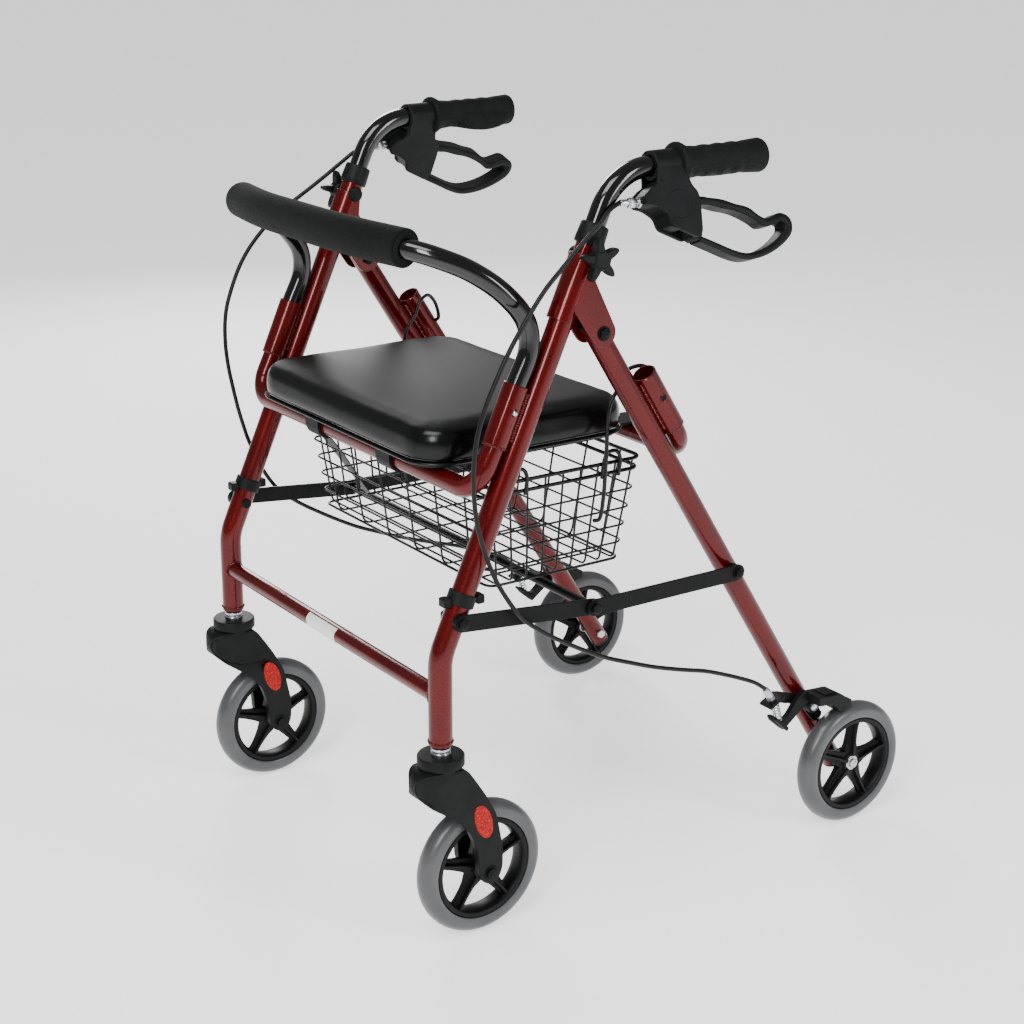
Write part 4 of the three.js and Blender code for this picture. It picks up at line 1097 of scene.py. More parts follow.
for side, s in SIDES:
    flip = s < 0
    body = f"caster_{side}"

    def fork_leg(bm, across):
        smooth = softened(FORK_OUTLINE, 9, 5)
        slab_from(bm, smooth, SIDE_X + across * 20.3, 9.4)
        rounded_nose(bm)
        turn_profile(bm, [(across * 20.3 - 2 + SIDE_X, 10.5), (SIDE_X + across * 20.3 + 2, 10.5)],
                     at(0, *CASTER_AXLE), sides=32)

    def fork_shoulder(bm):
        rows = [(-24.6, 0.86), (-22, 0.95), (-16, 0.99), (-8, 1.0), (0, 1.01), (8, 1.0), (16, 0.99),
                (22, 0.95), (24.6, 0.86)]
        smooth = softened(FORK_SHOULDER, 12, 5)
        mid_y = sum(p[0] for p in smooth) / len(smooth)
        mid_z = sum(p[1] for p in smooth) / len(smooth)
        rings = []
        for x, size in rows:
            rings.append([bm.verts.new(at(SIDE_X + x, mid_y + (y - mid_y) * size,
                                          mid_z + (z - mid_z) * size)) for y, z in smooth])
        for low, high in zip(rings, rings[1:]):
            for i in range(len(low)):
                n = (i + 1) % len(low)
                bm.faces.new((low[i], low[n], high[n], high[i]))
        bm.faces.new(rings[0][::-1])
        bm.faces.new(rings[-1])
        rounded_nose(bm)

    finish_piece(f"fork_leg_outer_{side}", mesh_from(lambda bm: fork_leg(bm, 1), flip), NYLON, body,
                 [f"caster_fork_{side}"], bevel=3.2, segments=5)
    finish_piece(f"fork_leg_inner_{side}", mesh_from(lambda bm: fork_leg(bm, -1), flip), NYLON, body,
                 bevel=3.2, segments=5)
    finish_piece(f"fork_shoulder_{side}", mesh_from(fork_shoulder, flip), NYLON, body,
                 bevel=4.0, segments=5)

    def bearing_disc(bm):
        base = at(SIDE_X, LEG_BEND[0], 0)
        turn_profile(bm,
                     [(204, 0), (204, 22.5), (206.8, 22.8), (207.2, 24.4), (208.2, 25.2), (217.6, 25.2),
                      (219, 24.2), (219.3, 22), (219.3, 11), (219.3, 0)], base, axis=(0, 0, 1), sides=56)
    finish_piece(f"bearing_disc_{side}", mesh_from(bearing_disc, flip), NYLON, body)

    def stem(bm):
        base = at(SIDE_X, LEG_BEND[0], 0)
        turn_profile(bm,
                     [(219, 0), (219, 10.8), (221.5, 10.8), (222, 9.6), (224, 9.6), (224.5, 10.6),
                      (227, 10.4), (227.6, 7.2), (228.8, 7.2), (228.8, 0)], base, axis=(0, 0, 1),
                     sides=36)
    finish_piece(f"fork_stem_{side}", mesh_from(stem, flip), ZINC, body, bevel=0.3,
                 segments=2)

    def fork_axle(bm):
        centre = at(0, *CASTER_AXLE)
        turn_profile(bm, [(SIDE_X - 16, 4.5), (SIDE_X + 16, 4.5)], centre, sides=24)
        for across in (-1, 1):
            low, high = sorted((SIDE_X + across * 24.4, SIDE_X + across * 26.0))
            turn_profile(bm, [(low, 8.6), (high, 8.6)], centre, sides=32)
            low, high = sorted((SIDE_X + across * 26.0, SIDE_X + across * 28.6))
            profile = [(low, 6.2), (high, 6.2 if across > 0 else 5.4)]
            turn_profile(bm, profile, centre, sides=6 if across < 0 else 28)
        turn_profile(bm, [(SIDE_X + 28.5, 3.6), (SIDE_X + 29.0, 3.2)], centre, sides=6)
    finish_piece(f"fork_axle_{side}", mesh_from(fork_axle, flip), STRIP_STEEL, body,
                 bevel=0.4)

    def reflector(bm, across):
        inner = circle_outline(REFLECTOR, 1, 40, (10.2, 21.0), REFLECTOR_LEAN)
        slab_from(bm, inner, SIDE_X + across * 25.2, 1.4)
    for place, across in (("outer", 1), ("inner", -1)):
        finish_piece(f"reflector_{place}_{side}", mesh_from(lambda bm: reflector(bm, across), flip),
                     ACRYLIC, body, bevel=0.5)

# %% [markdown]
# ## Handles
# A black enamelled post slides in each front leg and turns back into the handgrip. The grip is a
# rubber moulding with a flange that stops the hand, shallow hollows for the fingers, and a soft wing
# that carries the heel of the hand.

# %% Handle posts and grips
POST_BEND = 66.0
GRIP_START = -14.0
WING_LEAN = 52.0  # degrees from straight down, towards the other handle

for side, s in SIDES:
    flip = s < 0
    body = f"handle_{side}"
    foot = at(SIDE_X, *LEG_TOP) - up_front * 150 * MM
    corner = at(SIDE_X, LEG_TOP[0] + (GRIP_Z - LEG_TOP[1]) * front_slope, GRIP_Z)

    def post(bm):
        along(filleted([foot, corner, at(SIDE_X, 97, GRIP_Z)], POST_BEND, 16), POST_R, bm, sides=36)
    finish_piece(f"post_tube_{side}", mesh_from(post, flip), ENAMEL, body,
                 [f"handle_post_{side}"])

    def grip(bm):
        profile = [(0, POST_R + 0.2), (0, 19.5), (0.8, 21.2), (2.5, 22), (5.0, 21.9), (8, 20.4),
                   (12, 18.2), (17, 16.8)]
        for k in range(39):
            along_grip = 20 + k * 2
            hollow = 0.5 - 0.5 * math.cos(2 * math.pi * (along_grip - 20) / 19)
            profile.append((along_grip, 16.6 - 0.9 * hollow + 0.6 * k / 38))
        profile += [(101, 17.4), (106, 17.8), (111, 18.1), (113.5, 18.2), (115.6, 17.4), (116.4, 15.4),
                    (116.0, 13.5), (115.8, 0)]
        turn_profile(bm, profile, at(SIDE_X, GRIP_START, GRIP_Z), axis=(0, 1, 0), sides=56)
    finish_piece(f"grip_sleeve_{side}", mesh_from(grip, flip), RUBBER, body,
                 [f"grip_{side}"], sharp=60)

    def palm_wing(bm):
        rows = 22
        lean = math.radians(WING_LEAN)
        rings = []
        for k in range(rows + 1):
            t = k / rows
            y = 20 + 80 * t
            drop = 15.0 * math.sin(math.pi * t ** 0.85) ** 0.75 + 0.2
            outline = []
            for i in range(17):
                a = math.pi * i / 16
                width = 12.4 - 4.5 * math.sin(a) ** 2
                outline.append((width * math.cos(a), -8.0 - (6.5 + drop) * math.sin(a)))
            rings.append([bm.verts.new(at(SIDE_X + a * math.cos(lean) + b * math.sin(lean), y,
                                          GRIP_Z - a * math.sin(lean) + b * math.cos(lean))) for a,
                          b in outline])
        for low, high in zip(rings, rings[1:]):
            for i in range(16):
                bm.faces.new((low[i], low[i + 1], high[i + 1], high[i]))
            bm.faces.new((low[16], low[0], high[0], high[16]))
        bm.faces.new(rings[0][::-1])
        bm.faces.new(rings[-1])
    finish_piece(f"palm_wing_{side}", mesh_from(palm_wing, flip), RUBBER, body, bevel=1.2,
                 segments=3)

# %% [markdown]
# ### Brake housings and levers
# The housing is a two-part nylon clamp round the post, with a flat body below it for the lever's
# pivot. Both are rolled outward about the grip, which is where the fingers want the lever. The lever is
# a moulded loop, squeezed up to brake and pushed down to park.

# %% Brake housing, lever loop and cable adjuster
BRAKE_ROLL = math.radians(20)
HOUSING = [(-47, 806), (-50, 788), (-58, 785), (-69, 777), (-69, 768), (-56, 764), (-44, 755), (-42, 743),
           (-11, 727.5), (-4, 733), (0, 761), (0, 774), (-8, 784), (-9, 806)]
LEVER_ROOT = [(-20, 761), (-12, 773), (-2, 774), (5, 769), (-2, 730), (-7, 725), (-14, 730), (-18, 750)]
LEVER_LINE = [(-3, 767), (14, 764.5), (32, 760), (48, 755), (64, 749), (76, 741), (86, 735), (98, 736.5),
              (108, 738.5), (116.5, 733), (115.5, 724), (104, 715), (88, 707.5), (70, 703), (52, 702.5),
              (36, 707.5), (16, 717), (-5, 727)]


def rolled(bm, start=0):
    """Rolls what was added since vertex number start about the grip's axis, outward."""
    bm.verts.ensure_lookup_table()
    centre = at(SIDE_X, 0, GRIP_Z)
    turn = Matrix.Translation(centre) @ Matrix.Rotation(-BRAKE_ROLL, 4, "Y") @ Matrix.Translation(-centre)
    bmesh.ops.transform(bm, matrix=turn, verts=bm.verts[start:])


for side, s in SIDES:
    flip = s < 0
    body = f"handle_{side}"

    def cheek(bm, across):
        slab_from(bm, softened(HOUSING, 5, 4), SIDE_X + across * 12.8, 4.6)
        rolled(bm)
    for place, across in (("outer", 1), ("inner", -1)):
        finish_piece(f"brake_cheek_{place}_{side}", mesh_from(lambda bm: cheek(bm, across), flip), NYLON,
                     body, [f"brake_housing_{side}"] if across > 0 else (), bevel=1.3,
                     segments=4)

    def core(bm):
        outline = [(-46, 792), (-50, 787), (-58, 783), (-68, 776), (-68, 769), (-56, 765), (-44, 755.5),
                   (-40, 744), (-26, 738), (-26, 776), (-12, 782), (-10, 792)]
        slab_from(bm, softened(outline, 3, 3), SIDE_X, 22)
        turn_profile(bm,
                     [(SIDE_X + 14.6, 16.0), (SIDE_X + 15.3, 16.0), (SIDE_X + 15.6, 15.4),
                      (SIDE_X + 15.6, 14.6), (SIDE_X + 15.25, 14.2), (SIDE_X + 15.3, 0)], at(0, -28, 763),
                     sides=56)
        rolled(bm)
    finish_piece(f"brake_core_{side}", mesh_from(core, flip), NYLON, body, bevel=0.9)

    def band(bm):
        turn_profile(bm,
                     [(-33, POST_R + 0.2), (-33, 14.6), (-32, 15.7), (-1, 15.9), (-0.3, 15.2),
                      (-0.3, POST_R + 0.2), (-33, POST_R + 0.2)], at(SIDE_X, GRIP_START, GRIP_Z),
                     axis=(0, 1, 0), sides=48)
        start = len(bm.verts)
        for across in (-1, 1):
            outline = [(-47, 808), (-47, 790), (-14.5, 790), (-14.5, 808)]
            slab_from(bm, outline, SIDE_X + across * 13.9, 3.4)
        rolled(bm, start)
    finish_piece(f"clamp_band_{side}", mesh_from(band, flip), NYLON, body, bevel=0.7)

    def adjuster(bm):
        centre = at(SIDE_X, -66, 772)
        axis = Vector((0, -26, 2)).normalized()
        knurl = lambda turn, _: 1 + 0.05 * math.cos(14 * turn)
        turn_profile(bm, [(1, 0), (1, 5.6), (4, 5.8)], centre, axis=axis, sides=6)
        turn_profile(bm, [(4, 3.2), (7.5, 3.2)], centre, axis=axis, sides=24)
        turn_profile(bm, [(7.5, 4.6), (8.3, 5.1), (15.5, 5.1), (16.5, 4.4)], centre, axis=axis, sides=84,
                     scale=knurl)
        turn_profile(bm, [(16.5, 3.6), (25.5, 3.4), (26.2, 3.0)], centre, axis=axis, sides=24)
        rolled(bm)
    finish_piece(f"cable_adjuster_{side}", mesh_from(adjuster, flip), ZINC, body,
                 bevel=0.2, segments=2)

    def lever(bm):
        line = flowing([at(SIDE_X, y, z) for y, z in LEVER_LINE], 5)
        rings = []
        for i, point in enumerate(line):
            heading = (line[min(i + 1, len(line) - 1)] - line[max(i - 1, 0)]).normalized()
            normal = heading.cross(Vector((1, 0, 0)))
            half = 10.2 + 0.8 * math.sin(math.pi * i / (len(line) - 1))
            fingers = 0.9 * math.cos(i * 0.62) if 4 < i < 30 else 0
            thick = 3.3 + 1.2 * (1 - i / len(line)) + 1.3 * math.exp(-((i - 48) / 12) ** 2) + fingers * 0.5
            ring = []
            for a, b in ((-1, -0.35), (-0.8, -1), (0.8, -1), (1, -0.35), (1, 0.35), (0.8, 1), (-0.8, 1),
                         (-1, 0.35)):
                ring.append(bm.verts.new(point + Vector((a * half * MM, 0, 0)) + normal * b * thick * MM))
            rings.append(ring)
        for low, high in zip(rings, rings[1:]):
            for i in range(8):
                n = (i + 1) % 8
                bm.faces.new((low[i], low[n], high[n], high[i]))
        bm.faces.new(rings[0][::-1])
        bm.faces.new(rings[-1])
        slab_from(bm, softened(LEVER_ROOT, 2, 3), SIDE_X, 19.6)
        rolled(bm)
    finish_piece(f"lever_loop_{side}", mesh_from(lever, flip), NYLON, f"lever_{side}",
                 [f"brake_lever_{side}"], bevel=0.6, sharp=45)
print("pieces so far:", len(made))

# %% [markdown]
# ### Star knobs and cable clips
# A five-lobed knob clamps the post at the height that its user wants. Each lobe is a finger joined to
# the hub by a smooth web, so the outline is one curve: a circle whose radius rises and falls five times.

# %% Knobs, inner caps and cable clips
KNOB = (front_y(724), 724.0)
LOBES = 5


def lobed(turn, distance):
    """The knob's reach at a turn. Every scale function is also given the distance along the axis, which this
    one does not use.
    """
    wave = 0.5 + 0.5 * math.cos(LOBES * (turn - 0.1))
    return 0.44 + 0.56 * wave ** 2.2


for side, s in SIDES:
    flip = s < 0

    def knob(bm):
        centre = at(SIDE_X, *KNOB)
        turn_profile(bm,
                     [(20.5, 20.5), (21.5, 22.4), (23, 23.4), (29.5, 23.6), (31.2, 22.6), (32.0, 19.6)],
                     centre, sides=110, scale=lobed)
        turn_profile(bm,
                     [(16.4, 0), (16.4, 8.0), (18, 9.6), (21, 10.2), (32.6, 9.4), (33.6, 8.8),
                      (33.8, 8.0), (33.2, 7.4), (33.0, 0)], centre, sides=40)
    finish_piece(f"star_knob_{side}", mesh_from(knob, flip), NYLON, f"knob_{side}",
                 [f"height_knob_{side}"], bevel=0.8, segments=3)

    def cap(bm):
        turn_profile(bm,
                     [(-LEG_R + 1.5, 8.5), (-LEG_R - 2.2, 9.2), (-LEG_R - 4.2, 8.2), (-LEG_R - 5.2, 5),
                      (-LEG_R - 5.4, 0)], at(SIDE_X, *KNOB), sides=32)
    finish_piece(f"knob_backing_{side}", mesh_from(cap, flip), NYLON, "front_frame")

    def clip(bm):
        centre = at(SIDE_X, front_y(386), 386)
        turn_profile(bm,
                     [(-7, LEG_R + 0.15), (-7, 14.4), (-6.2, 15.2), (6.2, 15.2), (7, 14.4),
                      (7, LEG_R + 0.15), (-7, LEG_R + 0.15)], centre, axis=up_front, sides=44)
        for y, z, w, h, x in ((front_y(386) - 19.5, 386, 9, 10, SIDE_X),
                              (front_y(386) + 19, 384, 9, 10, SIDE_X + 3)):
            slab_from(bm, softened([(y - w / 2, z - h / 2), (y + w / 2, z - h / 2), (y + w / 2, z + h / 2),
                                    (y - w / 2, z + h / 2)], 2, 3), x, 11)
    finish_piece(f"cable_clip_band_{side}", mesh_from(clip, flip), NYLON, "front_frame",
                 [f"cable_clip_{side}"], bevel=0.7)

    def snap(bm):
        centre = at(SIDE_X, front_socket_y(576.8), 576.8)
        turn_profile(bm, [(10.2, 3.0), (14.6, 3.0), (15.9, 2.5), (16.7, 1.4), (17.0, 0)], centre, sides=28)
    finish_piece(f"snap_ball_{side}", mesh_from(snap, flip), ZINC, f"button_{side}",
                 [f"snap_button_{side}"])

# %% [markdown]
# ## Backrest
# A black tube plugs into the two front sleeves and bows round the user's back. A sleeve of closed-cell
# foam, 40 mm thick, covers its middle. Cut foam has crisp ends with a slight dish round the tube.

# %% Backrest bar and foam
BAR_HALF = [(235, front_socket_y(556), 556), (235, front_socket_y(600), 600),
            (235, front_socket_y(636), 636), (234, -197, 664), (230, -220, 694), (217, -252, 719),
            (196, -283, 734), (172, -301, 740), (90, -316, 742)]
bar_line = flowing([at(*p) for p in BAR_HALF] + [at(0, -320, 743)] + [at(-x, y, z) for x, y,
                                                                      z in BAR_HALF[::-1]], 8)


def backrest_bar(bm):
    along(bar_line, 10.8, bm, sides=32)


finish_piece("backrest_bar", mesh_from(backrest_bar), ENAMEL, "backrest", ["backrest_tube"])

FOAM_R = 20
FOAM_DISH = 3 * MM
foam_line = flowing([at(*p) for p in ((174, -300, 740), (90, -316, 742), (0, -320, 743), (-90, -316, 742),
                                      (-174, -300, 740))], 14)


def foam(bm):
    line, factors = with_round_ends(foam_line, FOAM_R, 2.2, 4)
    first = line[0] + (line[1] - line[0]).normalized() * FOAM_DISH
    last = line[-1] + (line[-2] - line[-1]).normalized() * FOAM_DISH
    along([first] + line + [last], FOAM_R, bm, sides=48, radii=[0.58] + factors + [0.58])


foam_sleeve = finish_piece("foam_sleeve", mesh_from(foam), FOAM, "backrest", ["backrest_foam"])

# %% [markdown]
# ## Seat
# The seat is a board with a block of foam, wrapped in black vinyl that is pulled down over the edge and
# stapled underneath. It crowns slightly, its corners draw in, and a seam runs round just above the
# board. A short cloth simulation with a little pressure gives the pull that a modelled box lacks.

# %% Seat cushion
SEAT_X = 192.0
SEAT_Y = (-292.0, -14.0)
SEAT_Z = (512.9, 555.0)
SEAT_CORNER = 46.0


def seat_outline(inset, steps=12):
    outline = []
    reach = SEAT_CORNER - inset
    for cx, cy, start in ((1, 1, 0), (-1, 1, 90), (-1, 0, 180), (1, 0, 270)):
        centre_x = cx * (SEAT_X - SEAT_CORNER)
        centre_y = SEAT_Y[1] - SEAT_CORNER if cy else SEAT_Y[0] + SEAT_CORNER
        for k in range(steps + 1):
            turn = math.radians(start + 90 * k / steps)
            outline.append((centre_x + reach * math.cos(turn), centre_y + reach * math.sin(turn)))
    return outline


def cushion_shell(bm, levels):
    rings = []
    for inset, z in levels:
        rings.append([bm.verts.new(at(x, y, z)) for x, y in seat_outline(inset)])
    for low, high in zip(rings, rings[1:]):
        for i in range(len(low)):
            n = (i + 1) % len(low)
            bm.faces.new((low[i], low[n], high[n], high[i]))
    bm.faces.new(rings[0][::-1])
    bm.faces.new(rings[-1])


def seat_cushion():
    levels = [(10, SEAT_Z[0]), (4.5, SEAT_Z[0] + 0.4), (3.6, SEAT_Z[0] + 4), (2.6, 528), (3.2, 540),
              (6.5, 547), (12, 550.6), (20, 552)]
    mesh = mesh_from(lambda bm: cushion_shell(bm, levels))
    piece = bpy.data.objects.new("cushion", mesh)
    bpy.context.scene.collection.objects.link(piece)
    remesh = piece.modifiers.new("even_cells", "REMESH")
    remesh.mode = "VOXEL"
    remesh.voxel_size = 0.0055
    evaluated = piece.evaluated_get(bpy.context.evaluated_depsgraph_get())
    even = bpy.data.meshes.new_from_object(evaluated)
    piece.modifiers.clear()
    piece.data = even
    rest = [v.co.copy() for v in even.vertices]
    pinned = piece.vertex_groups.new(name="board_edge")
    for v in even.vertices:
        pinned.add([v.index], 1.0 if v.co.z < (SEAT_Z[0] + 3.5) * MM else 0.0, "REPLACE")
    cloth = piece.modifiers.new("pull", "CLOTH")
    cloth.settings.vertex_group_mass = "board_edge"
    cloth.settings.use_pressure = True
    cloth.settings.uniform_pressure_force = 3.0
    cloth.settings.effector_weights.gravity = 0
    cloth.settings.quality = 5
    scene = bpy.context.scene
    for step in range(1, 16):
        scene.frame_set(step)
    evaluated = piece.evaluated_get(bpy.context.evaluated_depsgraph_get())
    pulled = [v.co.copy() for v in evaluated.data.vertices]
    piece.modifiers.clear()
    cap = 2.0 * MM
    for v, before, after in zip(even.vertices, rest, pulled):
        move = after - before
        v.co = before + (move if move.length < cap else move.normalized() * cap)
    scene.frame_set(1)
    # The vinyl is drawn tight over the board's edge: a shallow groove runs round above it.
    for v in even.vertices:
        height = v.co.z / MM - SEAT_Z[0]
        groove = 1.3 * math.exp(-((height - 5.5) / 1.6) ** 2)
        centre = at(0, sum(SEAT_Y) / 2, 0)
        outward = Vector((v.co.x - centre.x, v.co.y - centre.y, 0))
        if outward.length > 0.1:
            v.co -= outward.normalized() * groove * MM
        low, high = SEAT_Z[0] * MM, (SEAT_Z[1] + 3) * MM
        v.co.z = min(max(v.co.z, low), high)
        v.co.x = min(max(v.co.x, -SEAT_X * MM), SEAT_X * MM)
    mesh_done = piece.data
    bpy.data.objects.remove(piece)
    cushion = finish_piece("seat_cushion", mesh_done, VINYL, None, ["seat_pad"], sharp=80)
    smooth = cushion.modifiers.new("smooth", "SMOOTH")
    smooth.factor = 0.6
    smooth.iterations = 6
    finer = cushion.modifiers.new("finer", "SUBSURF")
    finer.levels = finer.render_levels = 1
    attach(cushion, "seat")


seat_cushion()


def piping(bm):
    outline = [at(x, y, SEAT_Z[0] + 1.2) for x, y in seat_outline(3.4, 16)]
    along(outline + outline[:1], 1.5, bm, sides=10)


finish_piece("seat_edge_fold", mesh_from(piping), VINYL, "seat")

# %% [markdown]
# ### Seat board and hinge
# The board below the cushion is moulded nylon with stiffening ribs. Two hooks at its front turn on the
# seat tube, and two tongues at its back rest on the rear seat tube when the walker is open.

# %% Seat board, hinge hooks, tongues and screws
def seat_board(bm):
    levels = [(10, 508.6), (8, 509.4), (7.2, 512.6)]
    rings = [[bm.verts.new(at(x, y, z)) for x, y in seat_outline(inset)] for inset, z in levels]
    for low, high in zip(rings, rings[1:]):
        for i in range(len(low)):
            n = (i + 1) % len(low)
            bm.faces.new((low[i], low[n], high[n], high[i]))
    bm.faces.new(rings[0][::-1])
    bm.faces.new(rings[-1])


finish_piece("seat_board", mesh_from(seat_board), NYLON, "seat", ["seat_base"], bevel=0.5)


def board_ribs(bm):
    for x in (-150, -100, -50, 0, 50, 100, 150):
        along([at(x, -228, 508), at(x, -62, 508)], 2.6, bm, sides=8, flatten=(0.6, 1.4))
    for y in (-200, -145, -90):
        along([at(-160, y, 508), at(160, y, 508)], 2.6, bm, sides=8, flatten=(1.4, 0.6))


finish_piece("board_ribs", mesh_from(board_ribs), NYLON, "seat")

for side, s in SIDES:
    flip = s < 0

    def hook(bm):
        outline = [(FRONT_BAR_Y - 15, 509.5), (FRONT_BAR_Y - 15, 494)]
        outline += [(FRONT_BAR_Y + 14.6 * math.cos(a), SEAT_TUBE_Z + 14.6 * math.sin(a))
                    for a in [math.pi + math.pi * k / 14 for k in range(15)]]
        outline += [(FRONT_BAR_Y + 17, 509.5), (FRONT_BAR_Y + 10, 509.5)]
        outline += [(FRONT_BAR_Y + 11.5 * math.cos(a), SEAT_TUBE_Z + 11.5 * math.sin(a))
                    for a in [math.radians(40) - math.radians(260) * k / 20 for k in range(21)]]
        outline += [(FRONT_BAR_Y - 8.6, 509.5)]
        slab_from(bm, outline, 77, 28)
    finish_piece(f"seat_hook_{side}", mesh_from(hook, flip), NYLON, "seat", bevel=0.8)

    def tongue(bm):
        slab_from(bm,
                  softened([(-46, 508.7), (-46, 511.2), (-12, 511.6), (22, 511.4), (24.5, 509.6),
                            (22, 508.8)], 1, 2), 137, 38)
    finish_piece(f"seat_tongue_{side}", mesh_from(tongue, flip), NYLON, "seat", bevel=0.6)

    def board_screws(bm):
        for x, y in ((77, -228), (137, -40), (165, -150)):
            turn_profile(bm, [(-2.2, 0), (-2.2, 3.2), (-0.8, 5.2), (0.4, 5.4), (0.4, 0)], at(x, y, 508.8),
                         axis=(0, 0, 1), sides=20)
    finish_piece(f"board_screws_{side}", mesh_from(board_screws, flip), ZINC, "seat")

# %% [markdown]
# ## Basket
# The basket is welded from wire: two thick hoops at the rim, thin wires down the walls and across the
# floor, and hooks that hang it from wires on the rear frame. Every wire is a swept tube, and all of
# them are laid out from the basket's own rim and floor sizes.

# %% Wire basket
RIM_X, RIM_Y = 190.0, (-222.0, -6.0)
FLOOR_X, FLOOR_Y = 178.0, (-204.0, -26.0)
BASKET_Z = (362.0, 482.0)
THIN_R = 1.25
THICK_R = 2.3
ACROSS = 6  # wires that run down the front, across the floor and up the back
DEEP = 9  # wires that run from end to end
WALL_HOOPS = (0.18, 0.35, 0.52, 0.7)
RIM_HOOPS = (0.9, 1.0)
HOOP_CORNER = 12.0


def basket_ring(t, inset):
    """Corners of the basket's section at height t, 0 at its floor and 1 at its rim."""
    half = FLOOR_X + (RIM_X - FLOOR_X) * t - inset
    low = FLOOR_Y[0] + (RIM_Y[0] - FLOOR_Y[0]) * t + inset
    high = FLOOR_Y[1] + (RIM_Y[1] - FLOOR_Y[1]) * t - inset
    z = BASKET_Z[0] + (BASKET_Z[1] - BASKET_Z[0]) * t
    return half, low, high, z


def hoop(bm, t, radius, sides=10):
    half, low, high, z = basket_ring(t, radius)
    corners = [at(0, low, z), at(half, low, z), at(half, high, z), at(-half, high, z), at(-half, low, z),
               at(0, low, z)]
    along(filleted(corners, HOOP_CORNER, 6), radius, bm, sides=sides)


def basket_wires(bm):
    for t in WALL_HOOPS:
        hoop(bm, t, THIN_R, sides=8)
    for t in RIM_HOOPS:
        hoop(bm, t - 0.006, THICK_R)
    hoop(bm, 0.02, THIN_R * 1.3, sides=8)
    top, bottom = basket_ring(0.99, 2.6), basket_ring(0.0, 1.2)
    floor_z = BASKET_Z[0] + THIN_R
    for k in range(ACROSS):
        share = (k + 0.5) / ACROSS * 2 - 1
        a, b = share * (top[0] - 6), share * (bottom[0] - 6)
        line = [at(a, top[1], top[3]), at(b, bottom[1], floor_z), at(b, bottom[2], floor_z),
                at(a, top[2], top[3])]
        along(filleted(line, 11, 5), THIN_R, bm, sides=8)
    for k in range(DEEP):
        share = (k + 0.5) / DEEP
        a = top[1] + (top[2] - top[1]) * share
        b = bottom[1] + (bottom[2] - bottom[1]) * share
        low = floor_z + 2 * THIN_R
        line = [at(top[0], a, top[3]), at(bottom[0], b, low), at(-bottom[0], b, low), at(-top[0], a, top[3])]
        along(filleted(line, 7, 4), THIN_R, bm, sides=8)


basket = finish_piece("wire_basket", mesh_from(basket_wires), WIRE, None, ["basket"], sharp=60)


def basket_handles(bm):
    """Wire bails at both ends that hook over the hanging wires."""
    half, low, high, z = basket_ring(0.98, 0)
    middle = (low + high) / 2
    for s in (1, -1):
        for y in (middle - 62, middle + 62):
            line = [at(s * (half - 1), y - 11, z - 14), at(s * (half + 2), y - 11, z + 6),
                    at(s * (half + 2), y - 6, z + 15), at(s * (half + 2), y + 6, z + 15),
                    at(s * (half + 2), y + 11, z + 6), at(s * (half - 1), y + 11, z - 14)]
            along(flowing(line, 4), THICK_R, bm, sides=10)


bails = finish_piece("basket_bails", mesh_from(basket_handles), WIRE, None, sharp=60)
for piece in (basket, bails):
    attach(piece, "front_frame")
    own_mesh(piece)

# %% Hanging wires on the rear sleeves
for side, s in SIDES:
    def hanging_wire(bm):
        x = SIDE_X - 29
        sleeve_y = rear_socket_y(560)
        line = [at(SIDE_X - 8, sleeve_y + 15.5, 556), at(SIDE_X - 15, sleeve_y + 15, 561),
                at(SIDE_X - 17, sleeve_y + 9, 580), at(x + 8, sleeve_y - 4, 592),
                at(x + 1, sleeve_y - 20, 588), at(x, sleeve_y - 28, 572), at(x, -68, 552),
                at(x, -71, 500), at(x, -74, 450), at(x - 4, -76, 425), at(x - 12, -77, 421)]
        along(flowing(line, 6), THICK_R, bm, sides=12)
    finish_piece(f"hanging_wire_{side}", mesh_from(hanging_wire, s < 0), WIRE, "rear_frame",
                 sharp=60)

# %% [markdown]
# ## Rear brakes
# A bent steel bracket on each rear leg holds the end of the cable's sleeve. The bare inner wire runs on
# to the brake arm, a coil spring pushes the arm away, and the arm's wedge presses on the tyre.

# %% Brake bracket, arm, spring and adjuster
BRAKE_PIVOT = (203.0, 156.0)
BRACKET_X = SIDE_X + LEG_R + 1.8
TAB = (138.5, 178.0)
ARM_END = (149.0, 148.5)


def between(bm, start, end, radius, sides=16):
    along([start, end], radius, bm, sides=sides)


